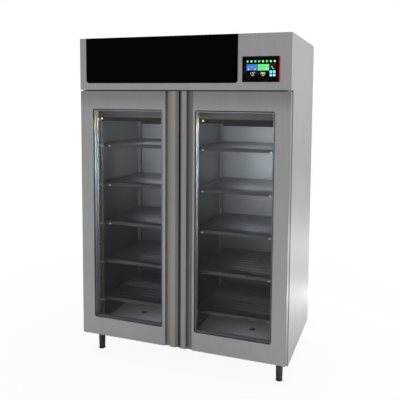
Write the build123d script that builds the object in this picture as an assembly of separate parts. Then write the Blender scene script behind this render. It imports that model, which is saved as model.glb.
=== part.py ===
from build123d import *
import math
import os

# Two-door dry aging cabinet. Millimetres, +Z up, front towards -Y, right-hand
# side towards +X. The origin is on the floor under the middle of the cabinet.

# Overall size
cabinet_width = 1400
cabinet_height = 2130
cabinet_depth = 790
leg_height = 130
machine_height = 330

# Sheets and walls
skin = 1.2
liner_sheet = 1.0
wall = 75
partition = 100
overrun = 10

# Doors
door_thickness = 60
door_side_inset = 3
door_lift = 30
door_gap = 8
seam_gap = 6
gasket_thickness = 5
gasket_width = 18
gasket_margin = 4
door_corner_radius = 12

# Window in each door
window_from_centre = 108
window_margin = 89
window_lift = 120
window_drop = 115
window_radius = 15
glazing_wall = 6
pane = 4
pane_clearance = 0.2

# Door handle profile
lip_flat = 33
lip_bevel_width = 17
lip_bevel_depth = 14
lip_wall = 2
groove_width = 36
groove_depth = 27
handle_base = 3
handle_clearance = 0.5

# Door pins and their brackets
pin_radius = 5
pin_from_edge = 17
pin_from_rear = 42
pin_root = 20
pin_fit = 0.05
bracket_plate = 4
bracket_width = 20
bracket_clearance = 2
bracket_door_gap = 4
bracket_foot_width = 40
bracket_foot_height = 24
frame_upstand = 30

# Fascia, black panel and touch screen
fascia_deck_gap = 1
fascia_rear_gap = 3
fascia_corner_radius = 2
fascia_return_relief = 6
panel_proud = 3
panel_from_left = 48
panel_lift = 42
panel_screen_gap = 28
panel_radius = 20
screen_width = 226
screen_height = 149
screen_from_right = 68
screen_lift = 47
screen_radius = 4
screen_border = 9
screen_glass = 1.5
screen_recess = 0.7
screen_body_inset = 14
screen_body_depth = 28
screen_clearance = 0.5
fascia_pin_radius = 3
fascia_pin_inset = 6
fascia_boss_radius = 6
fascia_boss_length = 4.5
ear_plate = 3
ear_clearance = 0.5
ear_length = 46
ear_foot_length = 24
ear_bar_height = 12
ear_drop = 24

# Drains
drain_from_bay_centre = 67.5
drain_place_share = 0.4
drain_flange_radius = 38
drain_flange = 2
drain_tube_radius = 19
drain_tube_reach = 3
drain_outlet_radius = 16
drain_outlet_length = 25
drain_bore = 13
drain_clearance = 0.5

# Rack: uprights, runners and shelves
upright_width = 25
upright_depth = 16
upright_sheet = 1.5
upright_head_gap = 25
front_upright_set_back = 32
rear_upright_set_back = 50
slot_width = 7
slot_height_share = 0.3
slot_count = 21
slots_per_shelf = 4
slots_under_first_shelf = 2.25
shelf_count = 5
shelf_side_gap = 5
shelf_edge = 22
shelf_sheet = 1.5
shelf_set_back = 57
shelf_slot_width = 6
shelf_slot_columns = 3
shelf_slot_rows = 10
shelf_slot_gap = 38
shelf_border = 47
runner_sheet = 1.5
runner_ledge = 22
runner_height = 18
runner_set_back = 8

# Lamp strips
lamp_width = 10
lamp_depth = 16
lamp_set_back = 6
lamp_lift = 40
lamp_drop = 45

# Evaporators
evaporator_side_gap = 37.5
evaporator_height = 95
evaporator_set_back_share = 0.27
evaporator_rear_gap = 20
evaporator_sheet = 1.5
evaporator_fan_radius = 80
evaporator_fan_clearance = 6
evaporator_fan_place_share = 0.27
evaporator_fan_height = 18
evaporator_motor_radius = 30
evaporator_motor_height = 62
evaporator_motor_bar = 36
evaporator_outlet_count = 9
evaporator_outlet_share = 0.65
evaporator_outlet_height = 8
coil_side_gap = 30
coil_depth_share = 0.29
coil_height = 70
coil_from_rear = 16
coil_fin_pitch = 22
coil_fin_groove = 8
coil_groove_depth = 6

# Fans
hub_share = 0.3
blade_count = 5
blade_thickness = 2
blade_pitch_deg = 32
shaft_radius = 3
shaft_fit = 0.05
shaft_length = 14

# Legs and feet
leg_from_side = 66
front_leg_from_face = 130
rear_leg_from_back = 65
leg_top_radius = 23
leg_bottom_radius = 21
leg_plate_size = 76
leg_plate = 4
foot_height = 28
foot_pad_radius = 22
foot_pad_height = 6
foot_neck_radius = 16
stem_radius = 6
stem_length = 40
stem_fit = 0.05
stem_end_gap = 4

# Condensing unit and control box
base_width = 620
base_depth = 470
base_lip = 18
base_sheet = 2
base_from_left = 150
base_set_back = 70
compressor_radius = 78
compressor_height = 150
compressor_dome = 46
compressor_from_right = 110
compressor_from_rear = 120
compressor_foot = 22
compressor_foot_radius = 14
compressor_feet = 3
condenser_width = 340
condenser_depth = 64
condenser_height = 250
condenser_from_left = 20
condenser_from_front = 24
shroud_sheet = 2
shroud_gap = 1
condenser_fan_radius = 110
condenser_fan_clearance = 8
condenser_fan_depth = 26
condenser_motor_radius = 40
condenser_motor_depth = 60
motor_arm = 16
fan_to_motor = 2
box_width = 250
box_depth = 120
box_height = 210
box_from_right = 60
box_set_back = 60
box_radius = 6
box_lid = 3

# Vents and power inlet in the back panel
vent_count = 9
vent_columns = 3
vent_width = 160
vent_height = 8
vent_radius = 3.8
vent_pitch = 20
vent_gap = 120
vent_drop = 70
inlet_width = 48
inlet_height = 32
inlet_depth = 22
inlet_flange = 6
inlet_flange_depth = 2
inlet_from_right = 150
inlet_lift = 90
inlet_pin_radius = 2
inlet_pin_length = 14
inlet_pin_spacing = 14
inlet_wall = 3
inlet_clearance = 0.3

# Places worked out from the sizes above
half_width = cabinet_width / 2
inner_half = half_width - skin
back_y = cabinet_depth / 2
front_y = -back_y
face_y = front_y + panel_proud
door_rear_y = face_y + door_thickness
body_front_y = door_rear_y + gasket_thickness
deck_z = cabinet_height - machine_height
bay_inner = partition / 2
bay_outer = half_width - wall
bay_centre = (bay_inner + bay_outer) / 2
bay_floor = leg_height + wall
bay_top = deck_z - wall
bay_back_y = back_y - wall
bay_front_y = body_front_y + skin
bay_depth = bay_back_y - body_front_y
bay_width = bay_outer - bay_inner
fascia_bottom = deck_z + fascia_deck_gap
door_top = fascia_bottom - door_gap
door_bottom = leg_height + door_lift
door_inner = seam_gap / 2
door_outer = half_width - door_side_inset
lip_start = door_inner + lip_bevel_width
lip_end = lip_start + lip_flat
groove_end = lip_end + groove_width
step_y = face_y + groove_depth + handle_base
pin_x = door_outer - pin_from_edge
pin_y = door_rear_y - pin_from_rear
window_outer = door_outer - window_margin
window_bottom = door_bottom + window_lift
window_top = door_top - window_drop
fascia_rear_y = body_front_y - fascia_rear_gap
shelf_front_y = body_front_y + shelf_set_back
shelf_rear_y = bay_back_y - rear_upright_set_back
shelf_width = bay_width - 2 * (upright_depth + runner_sheet + shelf_side_gap)
front_upright_y = body_front_y + front_upright_set_back
rear_upright_y = shelf_rear_y - upright_width
lamp_y = body_front_y + lamp_set_back
evaporator_front_y = body_front_y + bay_depth * evaporator_set_back_share
evaporator_back_y = bay_back_y - evaporator_rear_gap
evaporator_length = evaporator_back_y - evaporator_front_y
evaporator_width = bay_width - 2 * evaporator_side_gap
evaporator_bottom = bay_top - evaporator_height
upright_top = evaporator_bottom - upright_head_gap
slot_pitch = (upright_top - bay_floor) / slot_count
shelf_pitch = slot_pitch * slots_per_shelf
leg_x = half_width - leg_from_side
leg_ys = (face_y + front_leg_from_face, back_y - rear_leg_from_back)


def block(x0, x1, y0, y1, z0, z1):
    """A box between two corners."""
    size = (abs(x1 - x0), abs(y1 - y0), abs(z1 - z0))
    centre = ((x0 + x1) / 2, (y0 + y1) / 2, (z0 + z1) / 2)
    return Pos(*centre) * Box(*size)


def rod(x, y, z0, z1, radius):
    """An upright cylinder."""
    return Pos(x, y, (z0 + z1) / 2) * Cylinder(radius, abs(z1 - z0))


def rod_along_y(x, z, y0, y1, radius):
    """A cylinder that runs front to back."""
    return Pos(x, (y0 + y1) / 2, z) * Rot(90, 0, 0) * Cylinder(radius, abs(y1 - y0))


def rod_along_x(y, z, x0, x1, radius):
    """A cylinder that runs from side to side."""
    return Pos((x0 + x1) / 2, y, z) * Rot(0, 90, 0) * Cylinder(radius, abs(x1 - x0))


def rounded_block(x0, x1, y0, y1, z0, z1, radius):
    """A box whose four edges along Y are rounded."""
    outline = RectangleRounded(abs(x1 - x0), abs(z1 - z0), radius)
    plane = Plane(origin=((x0 + x1) / 2, max(y0, y1), (z0 + z1) / 2), x_dir=(1, 0, 0), z_dir=(0, -1, 0))
    return extrude(plane * outline, abs(y1 - y0))


def turned(points, x, y):
    """A turned solid on an upright axis, from (radius, height) points."""
    profile = make_face(Polyline(*[(r, 0, z) for r, z in points], close=True))
    return Pos(x, y, 0) * revolve(profile, Axis.Z)


def mirrored(solid):
    """The same piece on the other side of the cabinet's middle."""
    return mirror(solid, about=Plane.YZ)


def mirrored_all(solids):
    """The same pieces on the other side of the cabinet's middle."""
    return [mirrored(solid) for solid in solids]


def window_block(y0, y1, grow=0):
    """The square-cornered space of the right-hand door's glazing, grown on every side."""
    return block(
        window_from_centre - grow, window_outer + grow, y0, y1, window_bottom - grow, window_top + grow,
    )


def window_cut(y0, y1):
    """The round-cornered window opening that the right-hand door's sheets have."""
    return rounded_block(
        window_from_centre, window_outer, y0, y1, window_bottom, window_top, window_radius,
    )


# Cabinet shell
def side_right():
    return block(inner_half, half_width, body_front_y, back_y, leg_height, cabinet_height)


def base_panel():
    panel = block(-inner_half, inner_half, body_front_y, back_y, leg_height, leg_height + skin)
    return panel - drain_holes()


def roof_panel():
    return block(-inner_half, inner_half, body_front_y, back_y, cabinet_height - skin, cabinet_height)


def machine_deck():
    return block(-inner_half, inner_half, bay_front_y, back_y - skin, deck_z - skin, deck_z)


def bay_block(y0, y1, grow=0):
    """The right-hand bay's inside, grown at its sides, floor and ceiling."""
    return block(bay_inner - grow, bay_outer + grow, y0, y1, bay_floor - grow, bay_top + grow)


def front_frame():
    top = deck_z + frame_upstand
    frame = block(-inner_half, inner_half, body_front_y, bay_front_y, leg_height + skin, top)
    opening = bay_block(body_front_y - overrun, bay_front_y + overrun)
    return frame - opening - mirrored(opening)


def body_foam():
    foam = block(-inner_half, inner_half, bay_front_y, back_y - skin, leg_height + skin, deck_z - skin)
    hollow = bay_block(bay_front_y - overrun, bay_back_y + liner_sheet, liner_sheet)
    return foam - hollow - mirrored(hollow) - drain_holes()


def liner_right():
    """The bay's lining, welded from a floor, a ceiling, two side sheets and a back sheet."""
    x0 = bay_inner - liner_sheet
    x1 = bay_outer + liner_sheet
    z0 = bay_floor - liner_sheet
    z1 = bay_top + liner_sheet
    floor = block(bay_inner, bay_outer, bay_front_y, bay_back_y, z0, bay_floor) - drain_holes()
    ceiling = block(bay_inner, bay_outer, bay_front_y, bay_back_y, bay_top, z1)
    inner_side = block(x0, bay_inner, bay_front_y, bay_back_y, z0, z1)
    outer_side = block(bay_outer, x1, bay_front_y, bay_back_y, z0, z1)
    back = block(x0, x1, bay_back_y, bay_back_y + liner_sheet, z0, z1)
    return [floor, ceiling, inner_side, outer_side, back]


def back_panel():
    top = cabinet_height - skin
    panel = block(-inner_half, inner_half, back_y - skin, back_y, leg_height + skin, top)
    first_x = -(vent_columns - 1) * (vent_width + vent_gap) / 2
    for column in range(vent_columns):
        x = first_x + column * (vent_width + vent_gap)
        for row in range(vent_count):
            z = cabinet_height - vent_drop - row * vent_pitch
            panel -= rounded_block(
                x - vent_width / 2, x + vent_width / 2, back_y - skin - overrun, back_y + overrun,
                z - vent_height / 2, z + vent_height / 2, vent_radius,
            )
    grow = inlet_clearance
    return panel - inlet_block(back_y - skin - overrun, back_y + overrun, grow)


# Drains in the bay floors
def drain_places():
    x = bay_centre + drain_from_bay_centre
    y = body_front_y + bay_depth * drain_place_share
    return [(-x, y), (x, y)]


def drain_holes():
    low = leg_height - overrun
    radius = drain_tube_radius + drain_clearance
    holes = [rod(x, y, low, bay_floor + overrun, radius) for x, y in drain_places()]
    return holes[0] + holes[1]


def floor_drains():
    """Each drain: a flange on the bay floor, a tube through the insulation and a thinner outlet."""
    shoulder = leg_height - drain_tube_reach
    outlet = shoulder - drain_outlet_length
    solids = []
    for x, y in drain_places():
        drain = rod(x, y, bay_floor, bay_floor + drain_flange, drain_flange_radius)
        drain += rod(x, y, shoulder, bay_floor, drain_tube_radius)
        drain += rod(x, y, outlet, shoulder, drain_outlet_radius)
        drain -= rod(x, y, outlet - overrun, bay_floor + overrun, drain_bore)
        solids.append(drain)
    return solids


# Rack
def rack_walls():
    """Each bay wall as (x of the wall, direction from it into the bay)."""
    right = [(bay_inner, 1), (bay_outer, -1)]
    return [(-x, -way) for x, way in right] + right


def upright(wall_x, way, y0):
    face_x = wall_x + way * upright_depth
    post = block(wall_x, face_x, y0, y0 + upright_width, bay_floor, upright_top)
    post -= block(
        wall_x - way * overrun, face_x - way * upright_sheet,
        y0 + upright_sheet, y0 + upright_width - upright_sheet,
        bay_floor - overrun, upright_top + overrun,
    )
    middle = y0 + upright_width / 2
    slot_height = slot_pitch * slot_height_share
    for index in range(slot_count):
        z = bay_floor + slot_pitch * (index + 0.5)
        post -= block(
            face_x - way * (upright_sheet + overrun / 2), face_x + way * overrun,
            middle - slot_width / 2, middle + slot_width / 2, z - slot_height / 2, z + slot_height / 2,
        )
    return post


def rack_uprights():
    return [
        upright(x, way, y0)
        for x, way in rack_walls()
        for y0 in (front_upright_y, rear_upright_y)
    ]


def shelf_bottom(level):
    return bay_floor + slot_pitch * slots_under_first_shelf + level * shelf_pitch


def runner(wall_x, way, level):
    z = shelf_bottom(level)
    face_x = wall_x + way * upright_depth
    back_x = face_x + way * runner_sheet
    y0 = body_front_y + runner_set_back
    rail = block(face_x, face_x + way * runner_ledge, y0, shelf_rear_y, z - runner_sheet, z)
    back = block(face_x, back_x, y0, shelf_rear_y, z - runner_sheet, z + runner_height)
    return rail + back


def shelf_runners():
    return [
        runner(x, way, level)
        for x, way in rack_walls()
        for level in range(shelf_count)
    ]


def shelf(level):
    """One slotted shelf of the right-hand bay, with its edges folded down."""
    x0 = bay_centre - shelf_width / 2
    x1 = bay_centre + shelf_width / 2
    y1 = shelf_rear_y
    z = shelf_bottom(level)
    tray = block(x0, x1, shelf_front_y, y1, z, z + shelf_edge)
    tray -= block(
        x0 + shelf_sheet, x1 - shelf_sheet, shelf_front_y + shelf_sheet, y1 - shelf_sheet,
        z - overrun, z + shelf_edge - shelf_sheet,
    )
    middle = Pos(bay_centre, (shelf_front_y + y1) / 2, z + shelf_edge - shelf_sheet / 2)
    column_pitch = (shelf_width - 2 * shelf_border + shelf_slot_gap) / shelf_slot_columns
    row_pitch = (y1 - shelf_front_y - 2 * shelf_border) / (shelf_slot_rows - 1)
    places = GridLocations(column_pitch, row_pitch, shelf_slot_columns, shelf_slot_rows)
    slot = Box(column_pitch - shelf_slot_gap, shelf_slot_width, shelf_sheet + overrun)
    return tray - [middle * place * slot for place in places]


# Lamp strips in the front corners of the bays
def lamp_strips():
    z0 = bay_floor + lamp_lift
    z1 = bay_top - lamp_drop
    return [
        block(x, x + way * lamp_width, lamp_y, lamp_y + lamp_depth, z0, z1)
        for x, way in rack_walls()
    ]


# Fans
def fan_rotor(radius, height):
    """A fan on the Z axis, its hub's lower face at zero, with its shaft standing up."""
    hub_radius = radius * hub_share
    rotor = rod(0, 0, 0, height, hub_radius)
    blade_width = height / math.sin(math.radians(blade_pitch_deg)) - 2 * blade_thickness
    blade = Box(radius, blade_width, blade_thickness)
    place = Pos(radius / 2, 0, height / 2) * Rot(blade_pitch_deg, 0, 0)
    for index in range(blade_count):
        rotor += Rot(0, 0, index * 360 / blade_count) * place * blade
    sweep = rod(0, 0, 0, height, radius)
    return (rotor & sweep) + rod(0, 0, 0, height + shaft_length, shaft_radius)


# Evaporators
def evaporator_fan_place():
    return bay_centre, evaporator_front_y + evaporator_length * evaporator_fan_place_share


def evaporator_front(x0, x1, y0, y1, z0):
    """The front sheet of an evaporator case, with its row of air outlets."""
    sheet = block(x0, x1, y0, y1, z0, bay_top)
    step = evaporator_width / evaporator_outlet_count
    middle_z = (evaporator_bottom + bay_top) / 2
    for index in range(evaporator_outlet_count):
        x = x0 + step * (index + 0.5)
        sheet -= block(
            x - step * evaporator_outlet_share / 2, x + step * evaporator_outlet_share / 2,
            y0 - overrun, y1 + overrun,
            middle_z - evaporator_outlet_height / 2, middle_z + evaporator_outlet_height / 2,
        )
    return sheet


def evaporator_case():
    """A case open to the ceiling, welded from sheets, with its fan motor on a bar."""
    x0 = bay_centre - evaporator_width / 2
    x1 = bay_centre + evaporator_width / 2
    sheet = evaporator_sheet
    y0 = evaporator_front_y + sheet
    y1 = evaporator_back_y - sheet
    z0 = evaporator_bottom + sheet
    fan_x, fan_y = evaporator_fan_place()
    hole = evaporator_fan_radius + evaporator_fan_clearance
    bottom = block(x0, x1, evaporator_front_y, evaporator_back_y, evaporator_bottom, z0)
    bottom -= rod(fan_x, fan_y, evaporator_bottom - overrun, z0 + overrun, hole)
    front = evaporator_front(x0, x1, evaporator_front_y, y0, z0)
    back = block(x0, x1, y1, evaporator_back_y, z0, bay_top)
    ends = [block(x0, x0 + sheet, y0, y1, z0, bay_top), block(x1 - sheet, x1, y0, y1, z0, bay_top)]
    # The motor hangs from a bar that crosses the case over the fan.
    bar_z = bay_top - evaporator_sheet
    motor_z = bar_z - evaporator_motor_height
    bar = block(
        x0 + sheet, x1 - sheet, fan_y - evaporator_motor_bar / 2, fan_y + evaporator_motor_bar / 2,
        bar_z, bay_top,
    )
    motor = rod(fan_x, fan_y, motor_z, bar_z, evaporator_motor_radius)
    bore = rod(fan_x, fan_y, motor_z - overrun, motor_z + shaft_length, shaft_radius + shaft_fit)
    return [bottom, front, back, bar + (motor - bore)] + ends


def evaporator_cases():
    case = evaporator_case()
    return case + mirrored_all(case)


def evaporator_fan():
    fan_x, fan_y = evaporator_fan_place()
    motor_z = bay_top - evaporator_sheet - evaporator_motor_height
    fan_z = motor_z - fan_to_motor - evaporator_fan_height
    return Pos(fan_x, fan_y, fan_z) * fan_rotor(evaporator_fan_radius, evaporator_fan_height)


def evaporator_coil():
    y1 = evaporator_back_y - evaporator_sheet - coil_from_rear
    y0 = y1 - evaporator_length * coil_depth_share
    z0 = evaporator_bottom + evaporator_sheet
    width = evaporator_width - 2 * coil_side_gap
    return finned_block(bay_centre - width / 2, width, y0, y1, z0, z0 + coil_height)


def evaporator_coils():
    coil = evaporator_coil()
    return [mirrored(coil), coil]


def finned_block(x0, width, y0, y1, z0, z1):
    """A heat exchanger: a block with shallow grooves between its fins, front and rear."""
    fins = block(x0, x0 + width, y0, y1, z0, z1)
    count = int(width / coil_fin_pitch) - 1
    first = x0 + (width - (count - 1) * coil_fin_pitch) / 2
    for index in range(count):
        x = first + index * coil_fin_pitch
        for face, way in ((y0, 1), (y1, -1)):
            fins -= block(
                x - coil_fin_groove / 2, x + coil_fin_groove / 2,
                face - way * overrun, face + way * coil_groove_depth,
                z0 + coil_groove_depth, z1 - coil_groove_depth,
            )
    return fins


# Legs and levelling feet
def leg_places():
    return [(x, y) for y in leg_ys for x in (-leg_x, leg_x)]


def legs():
    solids = []
    for x, y in leg_places():
        half = leg_plate_size / 2
        leg = block(x - half, x + half, y - half, y + half, leg_height - leg_plate, leg_height)
        leg += turned(
            [(0, foot_height), (leg_bottom_radius, foot_height),
             (leg_top_radius, leg_height - leg_plate), (0, leg_height - leg_plate)],
            x, y,
        )
        depth = foot_height + stem_length + stem_end_gap
        leg -= rod(x, y, foot_height - overrun, depth, stem_radius + stem_fit)
        solids.append(leg)
    return solids


def foot(x, y):
    """A levelling foot: a flared pad, a neck and the stem that screws into the leg."""
    neck_top = foot_height - stem_fit
    return turned(
        [(0, 0), (foot_pad_radius, 0), (foot_pad_radius, foot_pad_height),
         (foot_neck_radius, foot_pad_height * 2), (foot_neck_radius, neck_top),
         (stem_radius, neck_top), (stem_radius, foot_height + stem_length), (0, foot_height + stem_length)],
        x, y,
    )


# Right-hand door
def door_outline(inset=0):
    """The door's closed shape: the full panel and the thinner part under the handle."""
    z0 = door_bottom + inset
    z1 = door_top - inset
    radius = door_corner_radius - inset
    front = block(groove_end + inset, door_outer - inset, face_y + inset, step_y + inset, z0, z1)
    edge = front.edges().filter_by(Axis.Z).sort_by(Axis.Y)[:2].sort_by(Axis.X)[0]
    front = fillet(edge, radius)
    rear = block(door_inner + inset, door_outer - inset, step_y + inset, door_rear_y, z0, z1)
    return front + rear


def door_hollow():
    inside = door_outline(skin)
    z0 = door_bottom + skin
    z1 = door_top - skin
    behind = block(door_inner + skin, door_outer - skin, door_rear_y - skin, door_rear_y + overrun, z0, z1)
    return inside + behind


def door_pins():
    top_end = fascia_bottom - bracket_clearance
    bottom_end = door_bottom - bracket_door_gap - bracket_plate
    top = rod(pin_x, pin_y, door_top - pin_root, top_end, pin_radius)
    bottom = rod(pin_x, pin_y, bottom_end, door_bottom + pin_root, pin_radius)
    return top + bottom


def door_skin():
    shell = door_outline() - door_hollow() - window_cut(face_y - overrun, step_y)
    return shell + door_pins()


def door_back():
    z0 = door_bottom + skin
    z1 = door_top - skin
    sheet = block(door_inner + skin, door_outer - skin, door_rear_y - skin, door_rear_y, z0, z1)
    return sheet - window_cut(door_rear_y - skin - overrun, door_rear_y + overrun)


def door_foam():
    foam = door_outline(skin) - block(
        door_inner - overrun, door_outer + overrun, door_rear_y - skin, door_rear_y + overrun,
        door_bottom - overrun, door_top + overrun,
    )
    return foam - window_block(face_y - overrun, door_rear_y + overrun, glazing_wall) - door_pins()


def door_glazing_frame():
    """Two upright bars and two cross bars between them, round the panes."""
    y0 = face_y + skin
    y1 = door_rear_y - skin
    inner = window_from_centre - glazing_wall
    outer = window_outer + glazing_wall
    low = window_bottom - glazing_wall
    high = window_top + glazing_wall
    return [
        block(inner, window_from_centre, y0, y1, low, high),
        block(window_outer, outer, y0, y1, low, high),
        block(window_from_centre, window_outer, y0, y1, low, window_bottom),
        block(window_from_centre, window_outer, y0, y1, window_top, high),
    ]


def door_glass():
    outer = window_block(face_y + skin, face_y + skin + pane, -pane_clearance)
    inner = window_block(door_rear_y - skin - pane, door_rear_y - skin, -pane_clearance)
    return [outer, inner]


def door_gasket():
    ring = bay_block(door_rear_y, body_front_y, gasket_margin + gasket_width)
    return ring - bay_block(door_rear_y - overrun, body_front_y + overrun, gasket_margin)


def door_handle():
    """An extruded profile: a base plate, the finger groove and a hollow lip along the seam."""
    base_end = groove_end - handle_clearance
    base_y = step_y - handle_base
    bevel_y = face_y + lip_bevel_depth
    outline = Polyline(
        (door_inner, step_y), (base_end, step_y), (base_end, base_y), (lip_end, base_y),
        (lip_end, face_y), (lip_start, face_y), (door_inner, bevel_y), close=True,
    )
    hollow = Polyline(
        (door_inner + lip_wall, base_y), (lip_end - lip_wall, base_y),
        (lip_end - lip_wall, face_y + lip_wall), (lip_start + lip_wall, face_y + lip_wall),
        (door_inner + lip_wall, bevel_y + lip_wall), close=True,
    )
    section = make_face(outline) - make_face(hollow)
    return Pos(0, 0, door_bottom) * extrude(section, door_top - door_bottom, dir=(0, 0, 1))


def hinge_bracket(plate_z, way):
    """A bracket on the front frame: way is 1 where its foot stands up, -1 where it hangs down."""
    z0 = plate_z
    z1 = plate_z + way * bracket_plate
    foot_y = body_front_y - bracket_plate
    half = bracket_width / 2
    plate = block(pin_x - half, pin_x + half, pin_y, body_front_y, z0, z1)
    plate += rod(pin_x, pin_y, z0, z1, half)
    foot_x0 = pin_x - bracket_foot_width / 2
    foot_x1 = min(pin_x + bracket_foot_width / 2, door_outer)
    plate += block(foot_x0, foot_x1, foot_y, body_front_y, z0, z0 + way * bracket_foot_height)
    return plate - rod(pin_x, pin_y, z0 - way * overrun, z1 + way * overrun, pin_radius + pin_fit)


def hinge_brackets():
    top = hinge_bracket(fascia_bottom - bracket_clearance - bracket_plate, 1)
    bottom = hinge_bracket(door_bottom - bracket_door_gap, -1)
    return [mirrored(top), mirrored(bottom), top, bottom]


# Fascia with its panel, screen and pivots
def screen_x():
    right = half_width - screen_from_right
    return right - screen_width, right


def screen_z():
    bottom = fascia_bottom + screen_lift
    return bottom, bottom + screen_height


def fascia_pivot_place():
    return fascia_rear_y - fascia_pin_inset, cabinet_height - fascia_pin_inset


def fascia_panel():
    """The fascia's front sheet, with a return welded on along each edge."""
    pan = block(-half_width, half_width, face_y, fascia_rear_y, fascia_bottom, cabinet_height)
    edges = pan.edges().filter_by(Axis.Z).sort_by(Axis.Y)[:2]
    pan = fillet(edges, fascia_corner_radius)
    pan -= block(
        -inner_half, inner_half, face_y + skin, fascia_rear_y + overrun,
        fascia_bottom + skin, cabinet_height - skin,
    )
    pan -= block(
        -inner_half, inner_half, fascia_rear_y - fascia_return_relief, fascia_rear_y + overrun,
        fascia_bottom - overrun, fascia_bottom + skin,
    )
    x0, x1 = screen_x()
    z0, z1 = screen_z()
    inset = screen_body_inset - screen_clearance
    pan -= block(x0 + inset, x1 - inset, face_y - overrun, face_y + overrun, z0 + inset, z1 - inset)
    pivot_y, pivot_z = fascia_pivot_place()
    boss_x = inner_half - fascia_boss_length
    boss = rod_along_x(pivot_y, pivot_z, boss_x, inner_half, fascia_boss_radius)
    hole = rod_along_x(pivot_y, pivot_z, boss_x - overrun, half_width + overrun, fascia_pin_radius + pin_fit)
    pan = pan + boss + mirrored(boss) - hole - mirrored(hole)
    seam_y = face_y + skin
    seam_x = inner_half - fascia_boss_length
    seam_z = (fascia_bottom + cabinet_height) / 2
    outer_x = half_width + overrun
    low = fascia_bottom - overrun
    high = cabinet_height + overrun
    right_end = block(seam_x, outer_x, seam_y, fascia_rear_y, low, high)
    return [
        pan & block(-outer_x, outer_x, face_y - overrun, seam_y, low, high),
        pan & block(-seam_x, seam_x, seam_y, fascia_rear_y, low, seam_z),
        pan & block(-seam_x, seam_x, seam_y, fascia_rear_y, seam_z, high),
        pan & right_end,
        pan & mirrored(right_end),
    ]


def fascia_pivots():
    pivot_y, pivot_z = fascia_pivot_place()
    ear_x1 = inner_half - fascia_boss_length - ear_clearance
    ear_x0 = ear_x1 - ear_plate
    # The head stays inside the circle that the fascia's top sheet turns on.
    head_radius = fascia_pin_inset - skin - ear_clearance
    y0 = pivot_y - head_radius
    y1 = y0 + ear_length
    z0 = pivot_z - ear_drop
    z1 = z0 + ear_bar_height
    ear = block(ear_x0, ear_x1, y0, pivot_y + head_radius, z0, pivot_z)
    ear += rod_along_x(pivot_y, pivot_z, ear_x0, ear_x1, head_radius)
    ear += block(ear_x0, ear_x1, y0, y1, z0, z1)
    ear += block(ear_x0, inner_half, y1 - ear_foot_length, y1, z0, z1)
    ear += rod_along_x(pivot_y, pivot_z, ear_x0, half_width, fascia_pin_radius)
    return [mirrored(ear), ear]


def black_panel():
    x0 = -half_width + panel_from_left
    x1 = screen_x()[0] - panel_screen_gap
    z0 = fascia_bottom + panel_lift
    panel = block(x0, x1, front_y, face_y, z0, cabinet_height)
    edges = panel.edges().filter_by(Axis.Y).sort_by(Axis.Z)[:2]
    return fillet(edges, panel_radius)


def screen_housing():
    x0, x1 = screen_x()
    z0, z1 = screen_z()
    bezel = rounded_block(x0, x1, front_y, face_y, z0, z1, screen_radius)
    inset = screen_body_inset
    bezel += block(x0 + inset, x1 - inset, face_y, face_y + screen_body_depth, z0 + inset, z1 - inset)
    inset = screen_border - screen_clearance
    floor_y = front_y + screen_recess + screen_glass
    recess = block(x0 + inset, x1 - inset, front_y - overrun, floor_y, z0 + inset, z1 - inset)
    return bezel - recess


def touch_screen():
    x0, x1 = screen_x()
    z0, z1 = screen_z()
    y0 = front_y + screen_recess
    return block(
        x0 + screen_border, x1 - screen_border, y0, y0 + screen_glass, z0 + screen_border, z1 - screen_border,
    )


# Condensing unit
def base_corner():
    return -half_width + base_from_left, body_front_y + base_set_back


def condensing_base():
    x0, y0 = base_corner()
    x1 = x0 + base_width
    y1 = y0 + base_depth
    tray = block(x0, x1, y0, y1, deck_z, deck_z + base_lip)
    return tray - block(
        x0 + base_sheet, x1 - base_sheet, y0 + base_sheet, y1 - base_sheet,
        deck_z + base_sheet, deck_z + base_lip + overrun,
    )


def compressor():
    x0, y0 = base_corner()
    x = x0 + base_width - compressor_from_right
    y = y0 + base_depth - compressor_from_rear
    z0 = deck_z + base_sheet
    z1 = z0 + compressor_foot
    z2 = z1 + compressor_height
    body = rod(x, y, z1, z2 + compressor_dome, compressor_radius)
    rim = body.edges().filter_by(GeomType.CIRCLE).sort_by(Axis.Z)[-1]
    body = fillet(rim, compressor_dome)
    for index in range(compressor_feet):
        turn = math.radians(90 + index * 360 / compressor_feet)
        reach = compressor_radius - 2 * compressor_foot_radius
        foot_x = x + reach * math.cos(turn)
        foot_y = y + reach * math.sin(turn)
        body += rod(foot_x, foot_y, z0, z1 + skin, compressor_foot_radius)
    return body


def condenser_places():
    x0, y0 = base_corner()
    x = x0 + condenser_from_left
    y = y0 + condenser_from_front
    z = deck_z + base_sheet
    return x, y, z


def condenser():
    x, y, z = condenser_places()
    return finned_block(x, condenser_width, y, y + condenser_depth, z, z + condenser_height)


def fan_shroud():
    """The plate behind the condenser, with the fan's opening and the motor on its arms."""
    x, y, z = condenser_places()
    y0 = y + condenser_depth
    y1 = y0 + shroud_gap + condenser_fan_depth + condenser_fan_clearance
    centre_x = x + condenser_width / 2
    centre_z = z + condenser_height / 2
    opening = condenser_fan_radius + condenser_fan_clearance
    shroud = block(x, x + condenser_width, y0, y1, z, z + condenser_height)
    shroud -= block(
        x + shroud_sheet, x + condenser_width - shroud_sheet, y0 - overrun, y1 - shroud_sheet,
        z + shroud_sheet, z + condenser_height - shroud_sheet,
    )
    shroud -= rod_along_y(centre_x, centre_z, y0, y1 + overrun, opening)
    arm_y = y1 + shroud_sheet
    arms = block(
        centre_x - opening - motor_arm, centre_x + opening + motor_arm, y1, arm_y,
        centre_z - motor_arm / 2, centre_z + motor_arm / 2,
    )
    motor = rod_along_y(centre_x, centre_z, y1, y1 + condenser_motor_depth, condenser_motor_radius)
    bore = rod_along_y(
        centre_x, centre_z, y1 - overrun, y1 + shaft_length, shaft_radius + shaft_fit,
    )
    return shroud + arms + motor - bore


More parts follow.
